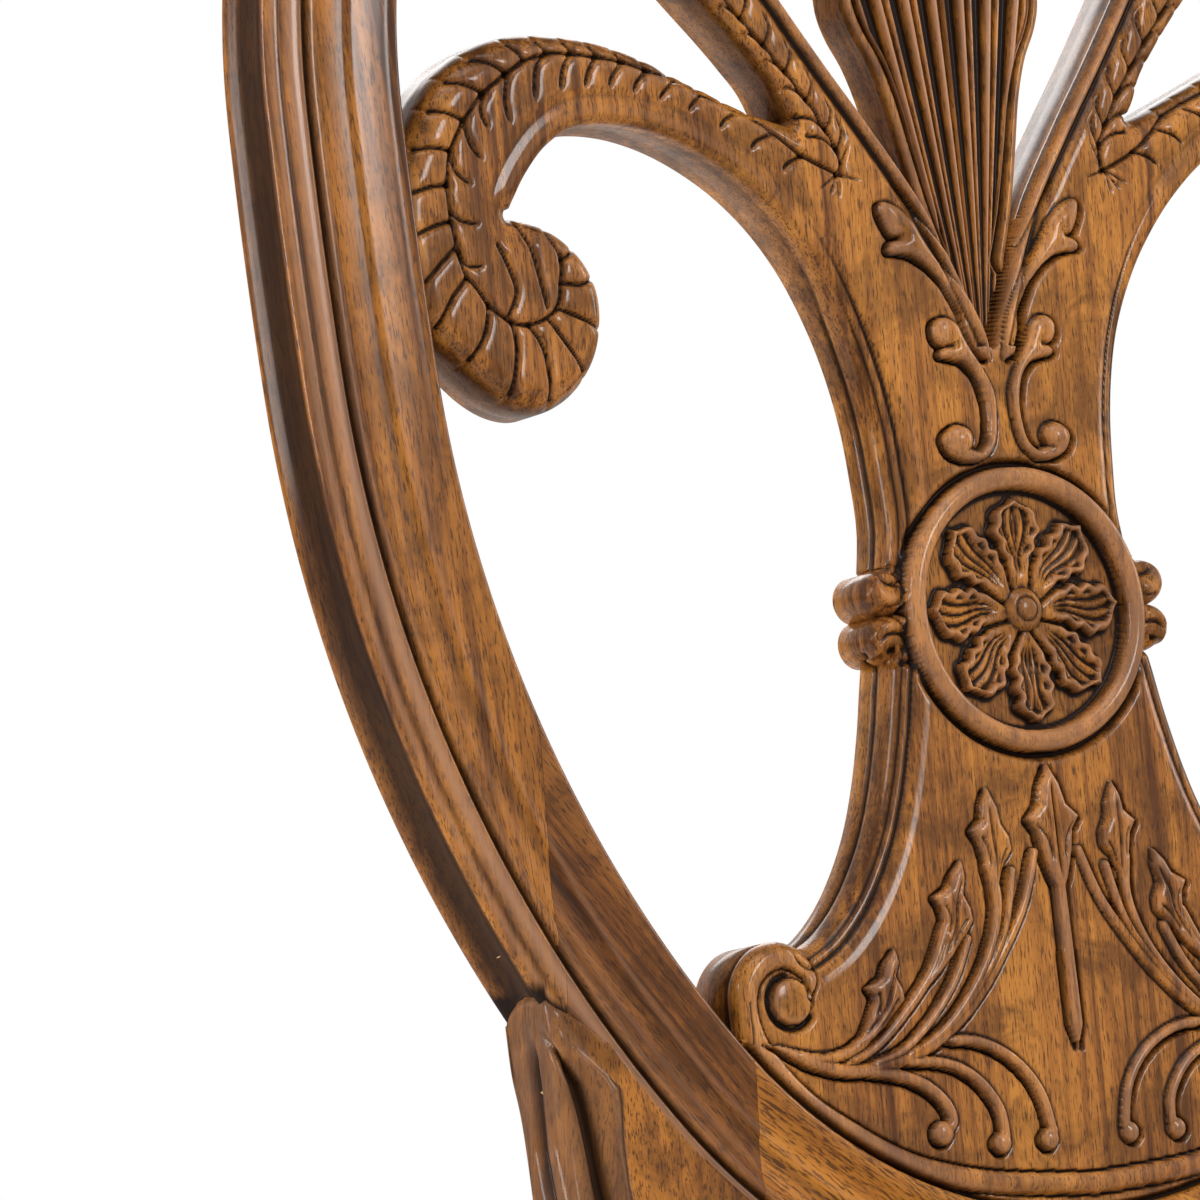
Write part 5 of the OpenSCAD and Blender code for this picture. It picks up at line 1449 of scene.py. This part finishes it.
def take_modified(piece):
    """Makes the shape that a piece's modifiers give it its own."""
    bpy.context.view_layer.update()
    mesh = bpy.data.meshes.new_from_object(piece.evaluated_get(bpy.context.evaluated_depsgraph_get()))
    piece.modifiers.clear()
    piece.data = mesh


SIM_FRAMES = 20
SIM_SINK = 0.002


def inflate(pad, voxel, pressure, proud, lift):
    """Swells a pad as cloth under pressure, then holds it within its room, in metres."""
    remesh = pad.modifiers.new("remesh", "REMESH")
    remesh.mode = "VOXEL"
    remesh.voxel_size = voxel
    remesh.use_smooth_shade = True
    take_modified(pad)
    start = mesh_points(pad)
    bottom = pad.vertex_groups.new(name="held")
    low = start[:, 2] < start[:, 2].min() + 0.004
    bottom.add(np.nonzero(low)[0].tolist(), 1.0, "REPLACE")
    cloth = pad.modifiers.new("cloth", "CLOTH")
    cloth.settings.use_pressure = True
    cloth.settings.uniform_pressure_force = pressure
    cloth.settings.tension_stiffness = 22
    cloth.settings.compression_stiffness = 22
    cloth.settings.bending_stiffness = 0.8
    cloth.settings.vertex_group_mass = "held"
    cloth.settings.effector_weights.gravity = 0
    cloth.point_cache.frame_start = 1
    cloth.point_cache.frame_end = SIM_FRAMES
    for step in range(1, SIM_FRAMES + 1):
        bpy.context.scene.frame_set(step)
    take_modified(pad)
    pad.vertex_groups.clear()
    bpy.context.scene.frame_set(1)
    moved = mesh_points(pad) - start
    moved[:, :2] = np.clip(moved[:, :2], -proud, proud)
    moved[:, 2] = np.clip(moved[:, 2], -SIM_SINK, lift)
    pad.data.vertices.foreach_set("co", (start + moved).ravel().astype(np.float32))
    pad.data.polygons.foreach_set("use_smooth", [True] * len(pad.data.polygons))
    pad.data.update()


seat_pad = pad_body()
inflate(seat_pad, 0.005, 4.0, 0.0012, 0.009)
soften = seat_pad.modifiers.new("soft", "SUBSURF")
soften.levels = soften.render_levels = 1
take_modified(seat_pad)
dress(seat_pad, "cover_cloth", "seat_stuffing", "seat_cover")

# The cover's sides, pulled down over the rails and drawn in at every nail
NAIL_Z = RAIL_BOTTOM + 11
NAIL_PITCH = 20
nail_r = BOW_R + COVER_FACE
nail_turn = math.degrees(math.asin(bow_half / nail_r))
nail_count = round(math.radians(nail_turn) * nail_r / NAIL_PITCH)
nails = [BOW_C + nail_r * np.array([math.sin(a), -math.cos(a)])
         for a in np.radians(np.linspace(-nail_turn, nail_turn, 2 * nail_count + 1))]
nail_from = np.array([-SEAT_W / 2 - COVER_FACE, SEAT_FRONT + LEG_TOP_W])
nail_to = np.array([-SEAT_HALF - COVER_FACE, -1.2])
side_count = int(np.linalg.norm(nail_to - nail_from) // NAIL_PITCH)
side_nails = [nail_from + (nail_to - nail_from) * (i + 0.5) / side_count for i in range(side_count)]
side_nails += [np.array([HEAD_R + 12 - SEAT_W / 2, SEAT_FRONT - COVER_FACE]),
               np.array([nail_from[0], SEAT_FRONT + HEAD_R + 12])]
nails = np.array(nails + side_nails + [p * (-1, 1) for p in side_nails])


def cover_sides():
    """The hanging sides as a closed skin: up the outer face and down the inner."""
    outer, hangs = seat_line(COVER_FACE, 3.0)
    inner, _ = seat_line(COVER_GAP, 3.0)
    n = len(outer)
    out = away_from_seat(outer)
    to_nail = np.hypot(*(outer[:, None, :] - nails[None, :, :]).transpose(2, 0, 1)).min(axis=1)
    foot = np.where(hangs > 0, RAIL_BOTTOM + 3, RAIL_TOP + 0.3)
    top = STUFF_Z + 3.4
    levels = [foot + (top - foot) * share for share in np.linspace(0, 1, 15)]
    points = []
    for z in levels:
        pull = swell(to_nail, 5.5) * swell(z - NAIL_Z, 17)
        proud = 0.9 * (hangs > 0) * (1 - pull) * smooth(z, foot - 1, foot + 4) * (1 - smooth(z, top - 6, top))
        points.append(np.column_stack([outer + out * proud[:, None], z]))
    points += [np.column_stack([inner, z]) for z in levels[::-1]]
    rows = [k * n for k in range(len(points))] + [0]
    return new_object("seat_cover_sides", seat_place(np.vstack(points)), strips_between(rows, n), cover_cloth)


dress(cover_sides(), "cover_cloth", "seat_cover")

# Piping round the seat where the top meets the sides
PIPE_R = 2.1
PIPE_TURNS = 12
pipe_line, _ = seat_line(COVER_FACE - 0.3, 4.0)
pipe_n = len(pipe_line)
pipe_out = away_from_seat(pipe_line)
pipe_rows = []
for a in np.radians(np.arange(0, 360, 360 / PIPE_TURNS)):
    r = PIPE_R + 0.12 * np.cos(3 * a + np.arange(pipe_n) * 0.9)
    ring = pipe_line + pipe_out * (r * math.cos(a))[:, None]
    pipe_rows.append(np.column_stack([ring, STUFF_Z + 4 + r * math.sin(a)]))
piping = new_object("seat_piping", seat_place(np.vstack(pipe_rows)),
                    strips_between([k * pipe_n for k in range(PIPE_TURNS)] + [0], pipe_n), cover_cloth)
dress(piping, "cover_cloth", "seat_cover")

# Webbing, woven over and under, then hessian over it and black cambric under the rails
WEB_W = 50
WEB_T = 1.15
WEAVE = 0.6
LAYER = RAIL_TOP + 1.2
ACROSS = [SEAT_FRONT + 60 + 76 * i for i in range(5)]
ALONG = [62 * i for i in range(-2, 3)]
SPLAY = math.atan(68 / 378)


def web_strip(name, centre, start, end, crossings, first_up, lengthways):
    """One strip that goes over and under the strips it crosses."""
    run = np.arange(start, end + 2, 4.0)
    run[-1] = end
    bends, lifts = [start], [-WEAVE]
    for k, at in enumerate(crossings):
        bends += [at - WEB_W / 2 + 1, at + WEB_W / 2 - 1]
        lifts += [WEAVE if (k + first_up) % 2 == 0 else -WEAVE] * 2
    bends.append(end)
    lifts.append(-WEAVE)
    order = np.argsort(bends)
    height = LAYER + np.interp(run, np.array(bends)[order], np.array(lifts)[order])
    side, along_run = np.meshgrid(np.linspace(-WEB_W / 2, WEB_W / 2, 13), run)
    z = np.broadcast_to(height[:, None], side.shape)
    x, y = (centre + side, along_run) if lengthways else (along_run, centre + side)
    low = np.stack([x, y, z - WEB_T / 2], axis=-1).reshape(-1, 3)
    high = low + (0, 0, WEB_T)
    faces, _ = slab_faces(*side.shape)
    strip = new_object(name, seat_place(np.vstack([low, high])), faces, jute, False)
    dress(strip, "jute", "webbing")


for i, y in enumerate(ACROSS):
    reach = SEAT_HALF - y * math.tan(SPLAY) - 6
    web_strip(f"web_across_{i + 1}", y, -reach, reach, ALONG, i, False)
for j, x in enumerate(ALONG):
    web_strip(f"web_along_{j + 1}", x, SEAT_FRONT + 8, SEAT_FRONT + 442, ACROSS, j + 1, True)


def spread_cloth(name, outline, heights, thick, step, material, slot, node):
    """A cloth stretched between the front and back rails."""
    cloth = flat_sheet(name, outline, heights, thick, step, material)
    dress(cloth, slot, node)


def hessian_lie(x, y):
    """The hessian lies flat under the stuffing."""
    return 0 * x + STUFF_Z - 0.18


def cambric_hang(x, y):
    """The cloth sags a little between the rails and puckers at its tacked edge."""
    inward = np.clip(1 - (x / 190) ** 2, 0, 1) * np.clip(1 - ((y + 197) / 200) ** 2, 0, 1)
    pucker = 0.35 * np.abs(np.sin(x / 9.5) * np.cos(y / 11)) * (1 - inward)
    return RAIL_BOTTOM - 0.75 - 5 * inward ** 0.8 - pucker


front_x = SEAT_HALF - SEAT_FRONT * math.tan(SPLAY) - 7
notch_x = SEAT_W / 2 - 43
tongue_x = SEAT_HALF - 44
cambric_left = [(-notch_x, SEAT_FRONT + 8), (-notch_x, SEAT_FRONT + 43), (9 - front_x, SEAT_FRONT + 43),
                (4 - SEAT_HALF, -3), (-tongue_x, -3), (-tongue_x, TONGUE_BACK - 4)]
corners = cambric_left + [(-x, y) for x, y in cambric_left[::-1]]
cambric_line = np.vstack([stretch_of(a, b, 14) for a, b in zip(corners, corners[1:] + corners[:1])])
spread_cloth("hessian_sheet", seat_line(-6, 12.0)[0], hessian_lie, 0.16, 14, hessian, "hessian", "base_cloth")
spread_cloth("dust_cambric", cambric_line, cambric_hang, 0.45, 12, black_cloth, "black_cloth", "dust_cover")


# Finishes of the solids that show as they are packed


def metal(name, colour, dull, rough, specks):
    """Worn metal with fine specks of a duller tone."""
    n = Nodes(name)
    flat = n.coords()
    clouds = n.noise(flat, 180, 4, 0.6)
    fine = n.noise(flat, specks, 3, 0.6)
    tone = n.ramp(clouds, (0.35, colour), (0.7, dull))
    n.put("Base Color", n.mix(n.ramp(fine, (0.55, 0.0), (0.75, 0.5)), tone, dull))
    n.put("Metallic", 1.0)
    n.put("Roughness", n.ramp(clouds, (0.3, rough), (0.75, rough + 0.2)))
    n.bump((fine, 0.1, 0.0002))
    return n.material


def brown_nylon():
    """The glides' dark plastic."""
    n = Nodes("nylon")
    clouds = n.noise(n.coords(), 300, 3, 0.6)
    n.put("Base Color", n.ramp(clouds, (0.3, (0.16, 0.13, 0.11)), (0.75, (0.1, 0.08, 0.07))))
    n.put("Roughness", 0.5)
    n.bump((clouds, 0.1, 0.0002))
    return n.material


PALE_BROWN = dict(light=(0.5, 0.34, 0.17), mid=(0.42, 0.27, 0.12), dark=(0.3, 0.18, 0.075))
ACROSS_GRAIN = (0, math.radians(90), 0)
DEPTH_GRAIN = (math.radians(90), 0, 0)
front_leg_wood = wood("mahogany_front_leg", **RED_BROWN, moved=(0.2, 0.1, 0.6), figure=0.4)
cross_wood = wood("mahogany_rail", **RED_BROWN, turned=ACROSS_GRAIN, moved=(0.4, 0.8, 0.3), figure=0.3)
deep_wood = wood("mahogany_side_rail", **RED_BROWN, turned=DEPTH_GRAIN, figure=0.3)
pale_wood = wood("beech", **PALE_BROWN, turned=ACROSS_GRAIN, figure=0.1)
steel = metal("steel", (0.55, 0.54, 0.52), (0.32, 0.3, 0.28), 0.3, 900)
brass = metal("brass", (0.72, 0.5, 0.2), (0.42, 0.26, 0.09), 0.22, 700)
for material, names in (
        (front_leg_wood, ("front_leg_left", "front_leg_right")), (cross_wood, ("front_rail", "back_rail")),
        (deep_wood, ("side_rail_left", "side_rail_right")),
        (pale_wood, ("corner_blocks", "shield_dowels", "stile_dowels")),
        (steel, ("corner_screws",)), (brass, ("cover_nails",)), (brown_nylon(), ("foot_glides",))):
    for name in names:
        for material_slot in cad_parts[name].material_slots:
            material_slot.material = material


# Camera, light and floor

CAMERA_TURN = math.radians(33)
CAMERA_RISE = math.radians(4)
CAMERA_FAR = 2.6
LENS_PX = 9100
PHOTO_PX = 1200
AIM = place((-148.5, 230.3, 0))

toward = Vector((-math.sin(CAMERA_TURN) * math.cos(CAMERA_RISE),
                 -math.cos(CAMERA_TURN) * math.cos(CAMERA_RISE), math.sin(CAMERA_RISE)))
camera_data = bpy.data.cameras.new("camera")
camera_data.sensor_width = 36
camera_data.lens = 36 * LENS_PX / PHOTO_PX
camera_data.clip_end = 200
camera = in_scene("camera", camera_data)
camera.location = Vector(AIM) + toward * CAMERA_FAR
camera.rotation_euler = toward.to_track_quat("Z", "Y").to_euler()
bpy.context.scene.camera = camera


def soft_lamp(name, at, aim, size, power):
    """A rectangular lamp that faces a point."""
    data = bpy.data.lights.new(name, "AREA")
    data.shape = "RECTANGLE"
    data.size, data.size_y = size
    data.energy = power
    lamp = in_scene(name, data)
    lamp.location = at
    lamp.rotation_euler = (Vector(at) - Vector(aim)).to_track_quat("Z", "Y").to_euler()


soft_lamp("lamp_strip", (-2.7, 0.45, 1.45), (0, 0.1, 0.9), (0.7, 1.8), 92)
soft_lamp("lamp_key", (0.75, -2.35, 2.35), (0, 0.1, 0.85), (0.75, 1.0), 62)
soft_lamp("lamp_right", (2.7, 0.3, 1.5), (0, 0, 0.7), (0.8, 1.2), 26)
soft_lamp("lamp_top", (-0.3, -0.3, 3.0), (0, 0, 0.5), (1.4, 1.0), 16)
soft_lamp("lamp_back", (0.8, 2.4, 1.8), (0, 0, 0.6), (1.4, 1.2), 24)

# The background is white for the camera and in reflections, and a softer light on the object
world = bpy.data.worlds.new("studio")
world.use_nodes = True
bpy.context.scene.world = world
sky = world.node_tree
path = sky.nodes.new("ShaderNodeLightPath")
seen = path.outputs["Is Camera Ray"]
for ray in ("Is Glossy Ray", "Is Transmission Ray"):
    either = sky.nodes.new("ShaderNodeMath")
    either.operation = "MAXIMUM"
    sky.links.new(seen, either.inputs[0])
    sky.links.new(path.outputs[ray], either.inputs[1])
    seen = either.outputs[0]
strength = sky.nodes.new("ShaderNodeMapRange")
strength.inputs["To Min"].default_value = 0.3
sky.links.new(seen, strength.inputs["Value"])
sky.links.new(strength.outputs[0], sky.nodes["Background"].inputs["Strength"])
sky.nodes["Background"].inputs["Color"].default_value = (1, 1, 1, 1)

bpy.context.scene.view_settings.view_transform = "Standard"

floor_paint = Nodes("floor_paint")
floor_paint.put("Base Color", (0.86, 0.86, 0.85, 1))
floor_paint.put("Roughness", 0.9)
ground_at = floor_paint.add("ShaderNodeNewGeometry").outputs["Position"]
away = floor_paint.add("ShaderNodeVectorMath", operation="LENGTH", inputs={0: ground_at}).outputs["Value"]
far_off = floor_paint.add("ShaderNodeMapRange", interpolation_type="SMOOTHSTEP", inputs={
    "Value": away, "From Min": 1.2, "From Max": 3.6}).outputs[0]
by_eye = floor_paint.add("ShaderNodeLightPath").outputs["Is Camera Ray"]
white = floor_paint.add("ShaderNodeEmission", inputs={"Strength": 1.0, "Color": (1, 1, 1, 1)}).outputs[0]
blend = floor_paint.add("ShaderNodeMixShader", inputs={
    0: floor_paint.maths("MULTIPLY", far_off, by_eye), 1: floor_paint.shader.outputs[0], 2: white})
floor_paint.tree.links.new(blend.outputs[0], floor_paint.tree.nodes["Material Output"].inputs["Surface"])
FLOOR_RINGS = [0.8, 1.6, 3.2, 8, 30, 90]
FLOOR_SIDES = 48
floor_points = [(0, 0, 0)]
floor_faces = []
for k, r in enumerate(FLOOR_RINGS):
    for i in range(FLOOR_SIDES):
        turned = 2 * math.pi * i / FLOOR_SIDES
        floor_points.append((r * math.cos(turned), r * math.sin(turned), 0))
        a, b = (1 + k * FLOOR_SIDES + spot % FLOOR_SIDES for spot in (i, i + 1))
        floor_faces.append((0, a, b) if k == 0 else (a - FLOOR_SIDES, a, b, b - FLOOR_SIDES))
floor = new_object("floor", floor_points, floor_faces, floor_paint.material)
